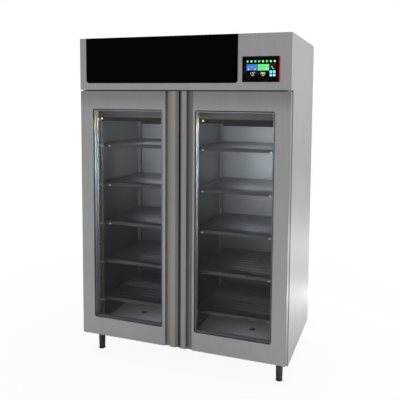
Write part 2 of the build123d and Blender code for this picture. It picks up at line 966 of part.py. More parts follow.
def condenser_fan():
    x, y, z = condenser_places()
    y1 = y + condenser_depth + shroud_gap + condenser_fan_depth + condenser_fan_clearance
    hub_y = y1 - fan_to_motor - condenser_fan_depth
    place = Pos(x + condenser_width / 2, hub_y, z + condenser_height / 2) * Rot(-90, 0, 0)
    return place * fan_rotor(condenser_fan_radius, condenser_fan_depth)


def control_box():
    x1 = inner_half - box_from_right
    x0 = x1 - box_width
    y0 = body_front_y + box_set_back
    box = block(x0, x1, y0 + box_lid, y0 + box_depth, deck_z, deck_z + box_height)
    box = fillet(box.edges().filter_by(Axis.Z), box_radius)
    lid = block(x0, x1, y0, y0 + box_lid, deck_z, deck_z + box_height)
    return box + lid


# Power inlet in the back panel
def inlet_block(y0, y1, grow=0):
    x = -inner_half + inlet_from_right
    z = deck_z + inlet_lift
    return block(
        x - inlet_width / 2 - grow, x + inlet_width / 2 + grow, y0, y1,
        z - inlet_height / 2 - grow, z + inlet_height / 2 + grow,
    )


def power_inlet():
    y0 = back_y - inlet_depth
    body = inlet_block(y0, back_y)
    body += inlet_block(back_y - skin - inlet_flange_depth, back_y - skin, inlet_flange)
    body -= inlet_block(y0 + inlet_wall, back_y + overrun, -inlet_wall)
    x = -inner_half + inlet_from_right
    z = deck_z + inlet_lift
    for index in (-1, 0, 1):
        pin_end = y0 + inlet_wall + inlet_pin_length
        body += rod_along_y(x + index * inlet_pin_spacing, z, y0, pin_end, inlet_pin_radius)
    return body


def save(name, solids):
    """Write one node, of one solid or of several separate ones."""
    if not isinstance(solids, list):
        solids = [solids]
    parts = [solid for item in solids for solid in item.solids()]
    shape = parts[0] if len(parts) == 1 else Compound(children=parts)
    export_step(shape, f"parts/{name}.step")


def build_cabinet():
    right = side_right()
    liner = liner_right()
    save("side_right", right)
    save("side_left", mirrored(right))
    save("back_panel", back_panel())
    save("base_panel", base_panel())
    save("roof_panel", roof_panel())
    save("machine_deck", machine_deck())
    save("front_frame", front_frame())
    save("body_foam", body_foam())
    save("liner_right", liner)
    save("liner_left", mirrored_all(liner))
    save("floor_drains", floor_drains())
    save("rack_uprights", rack_uprights())
    save("shelf_runners", shelf_runners())
    save("lamp_strips", lamp_strips())
    for level in range(shelf_count):
        tray = shelf(level)
        save(f"shelf_right_{level + 1}", tray)
        save(f"shelf_left_{level + 1}", mirrored(tray))


def build_cooling():
    fan = evaporator_fan()
    save("evaporator_cases", evaporator_cases())
    save("evaporator_coils", evaporator_coils())
    save("evaporator_fan_right", fan)
    save("evaporator_fan_left", mirrored(fan))
    save("condensing_base", condensing_base())
    save("compressor", compressor())
    save("condenser", condenser())
    save("fan_shroud", fan_shroud())
    save("condenser_fan", condenser_fan())
    save("control_box", control_box())
    save("power_inlet", power_inlet())


def build_doors():
    pieces = {
        "door_skin": [door_skin()],
        "door_back": [door_back()],
        "door_foam": [door_foam()],
        "door_glazing_frame": door_glazing_frame(),
        "door_glass": door_glass(),
        "door_gasket": [door_gasket()],
        "door_handle": [door_handle()],
    }
    for name, solids in pieces.items():
        save(f"{name}_right", solids)
        save(f"{name}_left", mirrored_all(solids))
    save("hinge_brackets", hinge_brackets())


def build_fascia():
    save("fascia_panel", fascia_panel())
    save("fascia_pivots", fascia_pivots())
    save("black_panel", black_panel())
    save("screen_housing", screen_housing())
    save("touch_screen", touch_screen())


def build_legs():
    save("legs", legs())
    names = ("front_left", "front_right", "rear_left", "rear_right")
    for name, (x, y) in zip(names, leg_places()):
        save(f"foot_{name}", foot(x, y))


os.makedirs("parts", exist_ok=True)
build_cabinet()
build_cooling()
build_doors()
build_fascia()
build_legs()
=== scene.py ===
import fnmatch
import logging
import math
from dataclasses import dataclass
from enum import Enum
from typing import Callable, ClassVar, Iterable, Optional, Sequence

import bpy
from mathutils import Euler, Matrix, Vector


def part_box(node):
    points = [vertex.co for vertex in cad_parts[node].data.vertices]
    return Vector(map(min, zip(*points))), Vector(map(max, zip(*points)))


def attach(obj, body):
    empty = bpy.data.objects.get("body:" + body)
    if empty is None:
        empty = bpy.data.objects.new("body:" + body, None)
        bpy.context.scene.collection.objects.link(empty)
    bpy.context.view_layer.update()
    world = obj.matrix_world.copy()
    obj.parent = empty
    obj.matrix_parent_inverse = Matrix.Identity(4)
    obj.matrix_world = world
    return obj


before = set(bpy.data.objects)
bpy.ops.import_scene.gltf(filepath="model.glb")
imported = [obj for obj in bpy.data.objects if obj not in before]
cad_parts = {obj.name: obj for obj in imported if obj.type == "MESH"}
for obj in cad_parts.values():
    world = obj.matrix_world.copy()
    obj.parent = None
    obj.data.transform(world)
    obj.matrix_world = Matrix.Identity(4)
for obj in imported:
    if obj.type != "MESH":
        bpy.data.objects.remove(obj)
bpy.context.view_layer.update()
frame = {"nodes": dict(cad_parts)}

log = logging.getLogger("cabinet")

Colour = tuple[float, float, float]
Point = tuple[float, float, float]
Pair = tuple[float, float]
Route = tuple[Point, ...]
Test = Callable[[Vector, Vector], bool]
Piece = bpy.types.Object
Socket = bpy.types.NodeSocket

MM = 0.001
UP = (0, 0, 1)
SIDES = {"left": -1, "right": 1}
BAY_X = 0.3375
EDGE_ANGLE = 40  # degrees below which faces are shaded smooth, on rounded edges and on wires
WIRE_ANGLE = 60

# The bench


def alone(piece: Optional[Piece] = None) -> None:
    """Selects one piece only and makes it the active one, or selects nothing.

    Args:
        piece: the piece.
    """
    bpy.ops.object.select_all(action="DESELECT")
    if piece is not None:
        piece.select_set(True)
        bpy.context.view_layer.objects.active = piece


def take_new(name: str) -> Piece:
    """Names what was just added and settles its place in its mesh.

    Args:
        name: the piece's name.

    Returns:
        The new piece, alone in the selection.
    """
    piece = bpy.context.active_object
    piece.name = piece.data.name = name
    alone(piece)
    bpy.ops.object.transform_apply(location=True, rotation=True, scale=True)
    return piece


def turned(way: Vector) -> Euler:
    """The rotation that turns the Z axis to a direction."""
    return Vector(UP).rotation_difference(way).to_euler()


def block(name: str, low: Point, high: Point) -> Piece:
    """Adds a block between two corners.

    Args:
        name: the piece's name.
        low: its first corner in metres.
        high: the corner opposite.

    Returns:
        The block.
    """
    alone()
    centre = [(a + b) / 2 for a, b in zip(low, high)]
    size = [abs(b - a) for a, b in zip(low, high)]
    bpy.ops.mesh.primitive_cube_add(size=1, location=centre, scale=size)
    return take_new(name)


def rod(name: str, start: Point, end: Point, radius: float, sides: int = 32) -> Piece:
    """Adds a round bar from one point to another.

    Args:
        name: the piece's name.
        start: the middle of its first end.
        end: the middle of its other end.
        radius: its radius in metres.
        sides: how many faces go round it.

    Returns:
        The bar.
    """
    alone()
    first, last = Vector(start), Vector(end)
    bpy.ops.mesh.primitive_cylinder_add(
        vertices=sides, radius=radius, depth=(last - first).length, location=(first + last) / 2,
        rotation=turned(last - first),
    )
    return take_new(name)


def edit(piece: Piece, act: Callable[..., object], faces: Optional[Test] = None,
         edges: Optional[Test] = None, **settings: object) -> None:
    """Works in edit mode on the faces or edges that pass a test, or on the whole mesh.

    Args:
        piece: the mesh that is worked on.
        act: the operator.
        faces: a test of a face's centre and normal.
        edges: a test of an edge's two ends.
        settings: the operator's settings.
    """
    alone(piece)
    mesh = piece.data
    picked = []
    if faces or edges:
        bpy.context.tool_settings.mesh_select_mode = (False, not faces, bool(faces))
        for group in (mesh.vertices, mesh.edges, mesh.polygons):
            group.foreach_set("select", [False] * len(group))
    if faces:
        picked = [faces(face.center, face.normal) for face in mesh.polygons]
        mesh.polygons.foreach_set("select", picked)
    elif edges:
        picked = [edges(*(mesh.vertices[index].co for index in edge.vertices)) for edge in mesh.edges]
        mesh.edges.foreach_set("select", picked)
    bpy.ops.object.mode_set(mode="EDIT")
    if not (faces or edges):
        bpy.ops.mesh.select_all(action="SELECT")
    if any(picked) or not (faces or edges):
        act(**settings)
    bpy.ops.object.mode_set(mode="OBJECT")


def facing(x: float, y: float, z: float, reach: float = math.inf) -> Test:
    """A test for the faces that look one way, and lie within a reach of the axis that way."""
    way = Vector((x, y, z))
    return lambda centre, normal: normal.dot(way) > 0.9 and centre.cross(way).length < reach


def inset(piece: Piece, faces: Test, rim: float, depth: float) -> None:
    """Sets faces in by a rim and raises them, or sinks them where the depth is negative."""
    edit(piece, bpy.ops.mesh.inset, faces=faces, thickness=rim, depth=depth)


def extrude(piece: Piece, faces: Test, move: Point) -> None:
    """Draws faces out by a move in metres."""
    edit(piece, bpy.ops.mesh.extrude_region_move, faces=faces, TRANSFORM_OT_translate={"value": move})


def shift_edges(piece: Piece, edges: Test, move: Point) -> None:
    """Moves some edges, to slope or taper a piece."""
    edit(piece, bpy.ops.transform.translate, edges=edges, value=move)


def cut(piece: Piece, z: float) -> None:
    """Cuts a piece's faces along a level."""
    edit(piece, bpy.ops.mesh.bisect, plane_co=(0, 0, z), plane_no=UP)


def round_edges(piece: Piece, edges: Test, radius: float, steps: int = 4) -> None:
    """Rounds some edges with a number of faces."""
    edit(piece, bpy.ops.mesh.bevel, edges=edges, offset=radius, segments=steps, affect="EDGES")


def smooth(piece: Piece, angle: float = 35) -> None:
    """Shades a piece smooth where its faces meet at less than an angle in degrees."""
    alone(piece)
    bpy.ops.object.shade_smooth_by_angle(angle=math.radians(angle))


def ring(name: str, centre: Point, axis: Point, radius: float, wire: float, steps: int = 48) -> Piece:
    """Spins a small circle into a closed wire ring.

    Args:
        name: the piece's name.
        centre: the middle of the ring.
        axis: the direction that the ring faces.
        radius: the radius of the ring's wire line.
        wire: the radius of the wire.
        steps: how many steps go round.

    Returns:
        The ring.
    """
    alone()
    middle, ahead = Vector(centre), Vector(axis).normalized()
    across = ahead.orthogonal().normalized()
    bpy.ops.mesh.primitive_circle_add(
        vertices=8, radius=wire, location=middle + across * radius, rotation=turned(ahead.cross(across))
    )
    piece = take_new(name)
    edit(piece, bpy.ops.mesh.spin, steps=steps, angle=math.tau, center=middle, axis=ahead)
    edit(piece, bpy.ops.mesh.remove_doubles, threshold=wire * 0.05)
    edit(piece, bpy.ops.mesh.normals_make_consistent, inside=False)
    smooth(piece, WIRE_ANGLE)
    return piece


def tube(name: str, route: Sequence[Point], radius: float, sides: int = 3) -> Piece:
    """Bends a round tube or wire along a route with soft corners.

    Args:
        name: the piece's name.
        route: the points that the tube follows.
        radius: the tube's radius.
        sides: the bevel's resolution.

    Returns:
        The tube with closed ends.
    """
    alone()
    bpy.ops.curve.primitive_nurbs_path_add()
    piece = bpy.context.active_object
    spline = piece.data.splines[0]
    spline.points.add(max(0, len(route) - len(spline.points)))
    spare = [route[-1]] * (len(spline.points) - len(route))
    for knot, spot in zip(spline.points, [*route, *spare]):
        knot.co = (*spot, 1.0)
    spline.order_u = 3
    spline.use_endpoint_u = True
    piece.data.resolution_u = 6
    piece.data.bevel_depth = radius
    piece.data.bevel_resolution = sides
    piece.data.use_fill_caps = True
    alone(piece)
    bpy.ops.object.convert(target="MESH")
    piece = take_new(name)
    piece.data.materials.clear()
    smooth(piece, WIRE_ANGLE)
    return piece


def soften(piece: Piece, width: float, steps: int = 2, angle: float = 35) -> Piece:
    """Breaks a piece's sharp edges with a small round and shades it smooth.

    Args:
        piece: the mesh that is worked on.
        width: the width of the round.
        steps: how many faces make it.
        angle: edges sharper than this many degrees are broken.

    Returns:
        The same piece.
    """
    alone(piece)
    round_off = piece.modifiers.new("edge", "BEVEL")
    round_off.width = width
    round_off.segments = steps
    round_off.limit_method = "ANGLE"
    round_off.angle_limit = math.radians(angle)
    bpy.ops.object.modifier_apply(modifier=round_off.name)
    smooth(piece, EDGE_ANGLE)
    return piece


def bore(piece: Piece, tool: Piece) -> None:
    """Takes a closed tool's shape out of a piece and removes the tool.

    Args:
        piece: the mesh that is worked on.
        tool: what is taken out.
    """
    alone(piece)
    taken = piece.modifiers.new("bore", "BOOLEAN")
    taken.operation = "DIFFERENCE"
    taken.object = tool
    bpy.ops.object.modifier_apply(modifier=taken.name)
    bpy.data.objects.remove(tool)


def copy_of(piece: Piece, name: str, move: Point = (0, 0, 0), mirror: bool = False) -> Piece:
    """Copies a piece with a mesh of its own.

    Args:
        piece: the piece that is copied.
        name: the copy's name.
        move: how far the copy stands from it.
        mirror: whether it is first turned over across the cabinet's middle.

    Returns:
        The copy.
    """
    twin = piece.copy()
    twin.data = piece.data.copy()
    twin.name = twin.data.name = name
    bpy.context.scene.collection.objects.link(twin)
    alone(twin)
    if mirror:
        twin.scale = (-1, 1, 1)
        bpy.ops.object.transform_apply(location=False, rotation=False, scale=True)
        edit(twin, bpy.ops.mesh.normals_make_consistent, inside=False)
    twin.location = move
    bpy.ops.object.transform_apply(location=True, rotation=False, scale=False)
    return twin


def repeat(piece: Piece, places: Iterable[Point]) -> list[Piece]:
    """Copies a piece to some places and removes it.

    Args:
        piece: the piece, modelled at the origin of the places.
        places: how far each copy is moved.

    Returns:
        The copies.
    """
    copies = [copy_of(piece, piece.name, place) for place in places]
    bpy.data.objects.remove(piece)
    return copies


def join(name: str, pieces: Sequence[Piece]) -> Piece:
    """Joins pieces into the first of them.

    Args:
        name: the joined piece's name.
        pieces: the pieces.

    Returns:
        The joined piece.
    """
    alone(pieces[0])
    for other in pieces[1:]:
        other.select_set(True)
    if len(pieces) > 1:
        bpy.ops.object.join()
    pieces[0].name = pieces[0].data.name = name
    return pieces[0]


@dataclass(frozen=True)
class Form:
    """A small part: a block between two corners, or a bar between two ends where it has a radius."""

    low: Point
    high: Point
    work: tuple[tuple, ...] = ()  # each an action of the bench with what it takes
    edge: float = 0.0  # the width of the round on its sharp edges, and how many faces make it
    steps: int = 2
    radius: float = 0.0  # the bar's, and how many faces go round it
    sides: int = 32

    def make(self, places: Iterable[Point] = ((0, 0, 0),)) -> list[Piece]:
        """Models the part once and copies it.

        Args:
            places: how far each copy is moved.

        Returns:
            The copies.
        """
        if self.radius:
            part = rod("part", self.low, self.high, self.radius, self.sides)
        else:
            part = block("part", self.low, self.high)
        for act, *values in self.work:
            act(part, *values)
        if self.edge:
            soften(part, self.edge, self.steps)
        return repeat(part, places)


# The finishes


class Grain(Enum):
    """The way that a brushed surface runs, as its noise's scale along X, Y and Z."""

    UPRIGHT = (420.0, 420.0, 3.0)
    ACROSS = (3.0, 420.0, 420.0)
    DEEP = (420.0, 3.0, 420.0)


class Nodes:
    """The nodes of a material or a world, which are being put together."""

    def __init__(self, owner: bpy.types.ID, face: str = "Principled BSDF", place: str = "Object") -> None:
        """Takes up the tree of a material or a world.

        Args:
            owner: the material or world.
            face: the node that the others feed.
            place: the coordinates that patterns lie on.
        """
        owner.use_nodes = True
        self.tree = owner.node_tree
        self.face = self.tree.nodes[face]
        self.place = self.add("TexCoord", {}, place)

    def fill(self, socket: Socket, value: object) -> None:
        """Gives an input a value, or links it where the value is another node's output.

        Args:
            socket: the input.
            value: a number, a colour, a point or an output.
        """
        if isinstance(value, Socket):
            self.tree.links.new(value, socket)
        elif socket.type == "RGBA":
            socket.default_value = (*value, 1.0)
        else:
            socket.default_value = value

    def add(self, kind: str, values: dict[int | str, object], out: int | str = 0,
            **settings: object) -> Socket:
        """Adds a node.

        Args:
            kind: its type.
            values: what its inputs get, by number or name.
            out: which output is asked for.
            settings: its properties.

        Returns:
            The output.
        """
        made = self.tree.nodes.new(f"ShaderNode{kind}")
        for name, value in settings.items():
            setattr(made, name, value)
        for key, value in values.items():
            self.fill(made.inputs[key], value)
        return made.outputs[out]

    def scaled(self, scale: Point) -> Socket:
        """The coordinates, stretched."""
        return self.add("Mapping", {"Vector": self.place, "Scale": scale})

    def noise(self, scale: Point, detail: float, rough: float = 0.5) -> Socket:
        """Noise with a scale of its own along each axis."""
        values = {"Vector": self.scaled(scale), "Scale": 1.0, "Detail": detail, "Roughness": rough}
        return self.add("TexNoise", values, "Fac")

    def axis(self, letter: str) -> Socket:
        """One of the coordinates."""
        return self.add("SeparateXYZ", {0: self.place}, letter)

    def math(self, kind: str, *values: object) -> Socket:
        """A sum on up to three numbers."""
        return self.add("Math", dict(enumerate(values)), operation=kind)

    def away(self, value: Socket, centre: float = 0.0) -> Socket:
        """How far a value lies from a centre."""
        return self.math("ABSOLUTE", self.math("SUBTRACT", value, centre))

    def vary(self, noise: Socket, low: float, high: float) -> Socket:
        """Noise taken from the range that it mostly keeps to another."""
        return self.spread(noise, 0.3, 0.7, low, high)

    def spread(self, *values: object) -> Socket:
        """A value taken smoothly from one range, low and high, to another."""
        return self.add("MapRange", dict(enumerate(values)), interpolation_type="SMOOTHSTEP")

    def blend(self, share: object, first: object, second: object) -> Socket:
        """A mix of two colours."""
        return self.add("Mix", {0: share, 6: first, 7: second}, 2, data_type="RGBA")

    def tint(self, colour: object, share: Socket) -> Socket:
        """A share of a colour."""
        return self.add("VectorMath", {0: colour, "Scale": share}, operation="SCALE")

    def seen(self) -> Socket:
        """Whether a ray comes from the camera, straight or through glass."""
        rays = self.add("LightPath", {}, "Is Camera Ray")
        return self.math("MAXIMUM", rays, rays.node.outputs["Is Transmission Ray"])

    def colour(self) -> Socket:
        """What feeds the surface's colour so far."""
        return self.face.inputs["Base Color"].links[0].from_socket

    def bump(self, height: Socket, depth: float, strength: float) -> None:
        """Gives the surface a relief of a depth in metres."""
        values = {"Strength": strength, "Distance": depth, "Height": height}
        self.set(Normal=self.add("Bump", values, "Normal"))

    def set(self, **values: object) -> None:
        """Fills the inputs of the node that the others feed, with _ for a space in their names."""
        for name, value in values.items():
            self.fill(self.face.inputs[name.replace("_", " ")], value)


@dataclass(frozen=True)
class Finish:
    """A finish, made into one material the first time that it is used."""

    name: str

    def material(self) -> bpy.types.Material:
        """Looks the material up or makes it.

        Returns:
            The finish's material.
        """
        known = bpy.data.materials.get(self.name)
        if known is None:
            known = bpy.data.materials.new(self.name)
            self.mix(Nodes(known))
        return known

    def mix(self, net: Nodes) -> None:
        """Puts the material's nodes together."""
        raise NotImplementedError

    def on(self, piece: Piece) -> None:
        """Puts the finish on all of a piece's slots.

        Args:
            piece: the piece.
        """
        if not piece.material_slots:
            piece.data.materials.append(None)
        for place in piece.material_slots:
            place.material = self.material()


@dataclass(frozen=True)
class BrushedSteel(Finish):
    """Satin stainless sheet with fine brushing and faint clouds, and where asked, painted shade under an
    edge and along an outer fold.
    """

    colour: Colour = (0.44, 0.44, 0.442)
    rough: float = 0.45
    grain: Grain = Grain.UPRIGHT
    metal: float = 1.0
    streak: float = 0.05  # how much the brushing changes the colour
    painted_shade_z: Optional[float] = None  # the height up to which a painted shade under an edge darkens the sheet
    # the run below that height over which the painted shade fades out, and the share of the colour that it
    # keeps
    painted_shade_run: float = 0.15
    painted_shade: float = 0.68
    painted_fold: Optional[Pair] = None  # how far from the middle a painted shade line along an outer fold begins and ends
    # the share of the colour that the painted shade line keeps
    painted_fold_shade: float = 0.8

    def mix(self, net: Nodes) -> None:
        """Puts brushing on the colour, the roughness and a very shallow relief, and paints shade where
        asked.

        Args:
            net: the material's nodes.
        """
        brush = net.noise(self.grain.value, 4.0, 0.65)
        cloud = net.noise((2.2,) * 3, 3.0)
        light = net.vary(brush, 1 - self.streak, 1 + self.streak)
        mottle = net.vary(cloud, 1 - self.streak * 0.6, 1 + self.streak * 0.6)
        level = net.math("MULTIPLY", light, mottle)
        # painted shade: the sheet darkens towards the height above, as in the shadow of the edge over it
        if self.painted_shade_z:
            top = net.spread(net.axis("Z"), self.painted_shade_z - self.painted_shade_run, self.painted_shade_z, 1.0, self.painted_shade)
            level = net.math("MULTIPLY", level, top)
        # painted shade: a dark line along the outer fold, for the fold's darker reflection
        if self.painted_fold:
            reach = net.away(net.axis("X"))
            start = net.spread(reach, self.painted_fold[0], self.painted_fold[0] + 0.0006, 1.0, self.painted_fold_shade)
            end = net.spread(reach, self.painted_fold[1], self.painted_fold[1] + 0.0002, 0.0, 1 - self.painted_fold_shade)
            level = net.math("MULTIPLY", level, net.math("ADD", start, end))
        rough = net.spread(brush, 0.25, 0.75, self.rough - 0.05, self.rough + 0.05)
        net.set(Base_Color=net.tint(self.colour, level), Metallic=self.metal, Roughness=rough)
        net.bump(brush, 0.00001, 0.12)


@dataclass(frozen=True)
class HandleMetal(BrushedSteel):
    """The handles' warm satin metal, with painted shade on the slope at the seam and on the grooves'
    floors.
    """

    slope_x: float = 0.0198  # how far the slope reaches from the seam
    # the share of the colour that the painted shade on the slope keeps
    slope: float = 0.62
    floor_y: float = -0.367  # where the grooves' floors begin
    groove_x: Pair = (0.050, 0.084)  # the left groove, whose painted shade lightens towards its outer edge
    # the share of the colour that the painted shade keeps at the left groove's inner edge and over the
    # whole right groove
    groove: float = 0.66

    def mix(self, net: Nodes) -> None:
        """Paints shade on the brushed metal by its place on the profile.

        Args:
            net: the material's nodes.
        """
        super().mix(net)
        x = net.axis("X")
        # painted shade on the slope by the seam, and on the grooves' floors
        seam = net.spread(net.away(x), self.slope_x, self.slope_x + 0.001, self.slope, 1.0)
        painted_groove_shade = net.spread(x, -self.groove_x[1], -self.groove_x[0], 1.0, self.groove)
        painted_floor_shade = net.spread(net.axis("Y"), self.floor_y, self.floor_y + 0.001, 1.0, painted_groove_shade)
        net.set(Base_Color=net.tint(net.colour(), net.math("MULTIPLY", seam, painted_floor_shade)))


@dataclass(frozen=True)
class ScrewedSheet(BrushedSteel):
    """A sheet with flat screw heads let in along its edges."""

    half: Pair = (0.7, 1.0)  # half the sheet's size along its two directions
    centre: Pair = (0.0, 1.13)
    axes: str = "XZ"
    inset: float = 0.016
    pitch: float = 0.19

    def mix(self, net: Nodes) -> None:
        """Draws a head, a ring and a socket at each screw of the brushed sheet.

        Args:
            net: the material's nodes.
        """
        super().mix(net)
        first, second = (net.math("SUBTRACT", net.axis(a), c) for a, c in zip(self.axes, self.centre))
        rows = []
        for along, across, reach in ((second, first, self.half[0]), (first, second, self.half[1])):
            off = net.away(net.away(across), reach - self.inset)
            step = net.math("PINGPONG", along, self.pitch / 2)
            squares = (net.math("MULTIPLY", part, part) for part in (off, step))
            rows.append(net.math("SQRT", net.math("ADD", *squares)))
        reach = net.math("MINIMUM", *rows)
        head = net.spread(reach, 0.0042, 0.0048, 0.0, 1.0)
        lip = net.spread(net.away(reach, 0.0050), 0.0, 0.0011, 0.0, 1.0)
        mark = net.math("MINIMUM", lip, net.spread(reach, 0.0016, 0.0020, 0.0, 1.0))
        screwed = net.blend(head, (0.55, 0.55, 0.54), net.colour())
        net.set(Base_Color=net.blend(mark, (0.05, 0.05, 0.05), screwed))
        net.bump(mark, 0.0006, 0.6)


@dataclass(frozen=True)
class PlainMetal(Finish):
    """A bare or plated metal part with slight tarnish."""

    colour: Colour
    dull: Colour
    rough: float
    scale: float  # patches of tarnish to a metre

    def mix(self, net: Nodes) -> None:
        """Puts patches on the colour and roughness, and fine draw lines in the relief.

        Args:
            net: the material's nodes.
        """
        patch = net.noise((self.scale,) * 3, 4.0)
        tone = net.blend(net.spread(patch, 0.35, 0.7, 0.0, 1.0), self.colour, self.dull)
        rough = net.vary(patch, self.rough * 0.85, self.rough * 1.25)
        net.set(Base_Color=tone, Metallic=1.0, Roughness=rough)
        net.bump(net.noise((self.scale * 40,) * 3, 2.0), 0.00003, 0.4)


@dataclass(frozen=True)
class WindowBead(Finish):
    """The polished bead round each window, with painted light: brighter towards its top, and a warm painted
    reflection of the lamps near the top.
    """

    # the painted light's colour at the bottom and at the top, and the colour of the warm painted reflection
    low: Colour = (0.22, 0.245, 0.28)
    high: Colour = (0.58, 0.62, 0.66)
    warm: Colour = (0.95, 0.84, 0.72)
    # the height of the warm painted reflection of the lamps
    painted_reflection_z: float = 1.585

    def mix(self, net: Nodes) -> None:
        """Paints light on the colour, brighter from the bottom up and warm at the lamps' height, with fine
        draw lines.

        Args:
            net: the material's nodes.
        """
        z = net.axis("Z")
        # painted light: brighter towards the top, with a warm painted reflection of the lamps at their
        # height
        tone = net.blend(net.spread(z, 0.6, 1.5, 0.0, 1.0), self.low, self.high)
        lamp = net.spread(net.away(z, self.painted_reflection_z), 0.01, 0.07, 1.0, 0.0)
        lines = net.noise((400, 400, 0.7), 1.0)
        net.set(Base_Color=net.blend(lamp, tone, self.warm), Metallic=0.5)
        net.set(Roughness=net.vary(lines, 0.18, 0.24))
        net.bump(lines, 0.00001, 0.15)


@dataclass(frozen=True)
class LinerSteel(BrushedSteel):
    """The bays' bright liner sheet, with painted shade: darker and bluer low down, and darker on the side
    walls.
    """

    # the painted shade's colour low down, and the heights between which it fades out
    low: Colour = (0.13, 0.15, 0.165)
    painted_shade_foot_z: float = 0.21
    painted_shade_top_z: float = 1.35
    wall: float = 0.33  # the share of the colour that the side walls keep under the painted shade

    def mix(self, net: Nodes) -> None:
        """Paints shade on the brushed sheet by its height and the way that it faces.

        Args:
            net: the material's nodes.
        """
        super().mix(net)
        normal = net.add("TexCoord", {}, "Normal")
        # painted shade: darker low down except where faces look up or down, and darker where they look
        # sideways
        aside, upward = (
            net.spread(net.away(net.add("SeparateXYZ", {0: normal}, way)), 0.5, 0.9, 0.0, 1.0)
            for way in "XZ"
        )
        rise = net.spread(net.axis("Z"), self.painted_shade_foot_z, self.painted_shade_top_z, 0.0, 1.0)
        tone = net.blend(net.math("MAXIMUM", rise, upward), self.low, net.colour())
        net.set(Base_Color=net.tint(tone, net.spread(aside, 0.0, 1.0, 1.0, self.wall)))


@dataclass(frozen=True)
class Galvanised(Finish):
    """Zinc-coated sheet with its spangle."""

    def mix(self, net: Nodes) -> None:
        """Lays cells of slightly different greys and roughness.

        Args:
            net: the material's nodes.
        """
        values = {"Vector": net.scaled((90, 90, 90)), "Scale": 1.0}
        cells = net.add("TexVoronoi", values, "Color", feature="F1")
        tone = net.add("SeparateColor", {0: cells}).node.outputs
        net.set(Base_Color=net.blend(tone[0], (0.42, 0.43, 0.44), (0.56, 0.57, 0.58)), Metallic=0.9)
        net.set(Roughness=net.spread(tone[1], 0.0, 1.0, 0.34, 0.5))
        net.bump(cells.node.outputs["Distance"], 0.00004, 0.3)


@dataclass(frozen=True)
class Moulded(Finish):
    """Moulded plastic, rubber or foam with a fine texture and slight wear."""

    colour: Colour = (0.02, 0.02, 0.022)
    worn: Colour = (0.05, 0.05, 0.052)
    rough: float = 0.45
    grain: float = 900.0  # grains to a metre
    depth: float = 0.00008
    sheen: float = 0.5

    def mix(self, net: Nodes) -> None:
        """Puts fine grain in the relief, and soft patches of wear on the colour.

        Args:
            net: the material's nodes.
        """
        grain = net.noise((self.grain,) * 3, 3.0)
        patch = net.noise((18,) * 3, 4.0)
        tone = net.blend(net.spread(patch, 0.4, 0.75, 0.0, 1.0), self.colour, self.worn)
        rough = net.vary(patch, self.rough - 0.06, self.rough + 0.08)
        net.set(Base_Color=tone, Roughness=rough, Specular_IOR_Level=self.sheen)
        net.bump(grain, self.depth, 0.5)


@dataclass(frozen=True)
class Housing(Moulded):
    """The screen's black housing, whose right edge is moulded in red."""

    red_x: float = 0.6262

    def mix(self, net: Nodes) -> None:
        """Puts a red band beyond one place of the moulded black.

        Args:
            net: the material's nodes.
        """
        super().mix(net)
        band = net.math("GREATER_THAN", net.axis("X"), self.red_x)
        net.set(Base_Color=net.blend(band, net.colour(), (0.72, 0.012, 0.010)))


@dataclass(frozen=True)
class Gloss(Finish):
    """A glossy sheet with slow clouds: black glass, or clear glass where it is see-through."""

    colour: Colour
    cloud: Colour
    rough: Pair
    sheen: float
    scale: float
    detail: float
    alpha: float = 1.0

    def mix(self, net: Nodes) -> None:
        """Puts clouds on the colour and the roughness.

        Args:
            net: the material's nodes.
        """
        cloud = net.noise((self.scale,) * 3, self.detail)
        tone = net.blend(cloud, self.colour, self.cloud)
        net.set(Base_Color=tone, Roughness=net.vary(cloud, *self.rough))
        net.set(Alpha=self.alpha, Specular_IOR_Level=self.sheen)


@dataclass(frozen=True)
class ScreenFace(Finish):
    """The dark face of the touch screen, with faint pale drifts of painted reflection that also glow a
    little.
    """

    def mix(self, net: Nodes) -> None:
        """Draws soft slanting drifts of painted reflection on the black, in its colour and in its light.

        Args:
            net: the material's nodes.
        """
        painted_drift = net.spread(net.noise((14, 14, 22), 5.0, 0.6), 0.52, 0.72, 0.0, 1.0)
        tone = net.blend(painted_drift, (0.0012, 0.0012, 0.0014), (0.022, 0.023, 0.026))
        net.set(Base_Color=tone, Roughness=0.16, Specular_IOR_Level=0.02)
        net.set(Emission_Color=tone, Emission_Strength=0.4)


@dataclass(frozen=True)
class Glow(Finish):
    """A small part that gives light: a lamp lens or a mark on the screen, or a small bright part that glows
    as a painted glint.
    """

    colour: Colour
    power: float
    rough: float = 0.4

    def mix(self, net: Nodes) -> None:
        """Puts the colour in the body and in the light, a little uneven.

        Args:
            net: the material's nodes.
        """
        dim = tuple(part * 0.86 for part in self.colour)
        tone = net.blend(net.noise((220,) * 3, 2.0), dim, self.colour)
        net.set(Base_Color=tone, Roughness=self.rough, Emission_Color=tone, Emission_Strength=self.power)


@dataclass(frozen=True)
class FinStack(Finish):
    """Thin aluminium fins, close together, with painted shade in the gaps between them."""

    pitch: float = 0.0024

    def mix(self, net: Nodes) -> None:
        """Draws fine stripes across the stack, the dark ones painted shade in the gaps between the fins,
        and patches of dust.

        Args:
            net: the material's nodes.
        """
        wave = net.math("SINE", net.math("MULTIPLY", net.axis("X"), math.tau / self.pitch))
        # painted shade: the dark stripes stand for the shaded gaps between the fins
        tone = net.blend(net.spread(wave, -0.2, 0.9, 0.0, 1.0), (0.10, 0.10, 0.105), (0.58, 0.59, 0.60))
        dust = net.spread(net.noise((30,) * 3, 3.0), 0.55, 0.75, 0.0, 0.6)
        net.set(Base_Color=net.blend(dust, tone, (0.3, 0.3, 0.3)), Metallic=0.9, Roughness=0.4)
        net.bump(wave, 0.0004, 0.5)


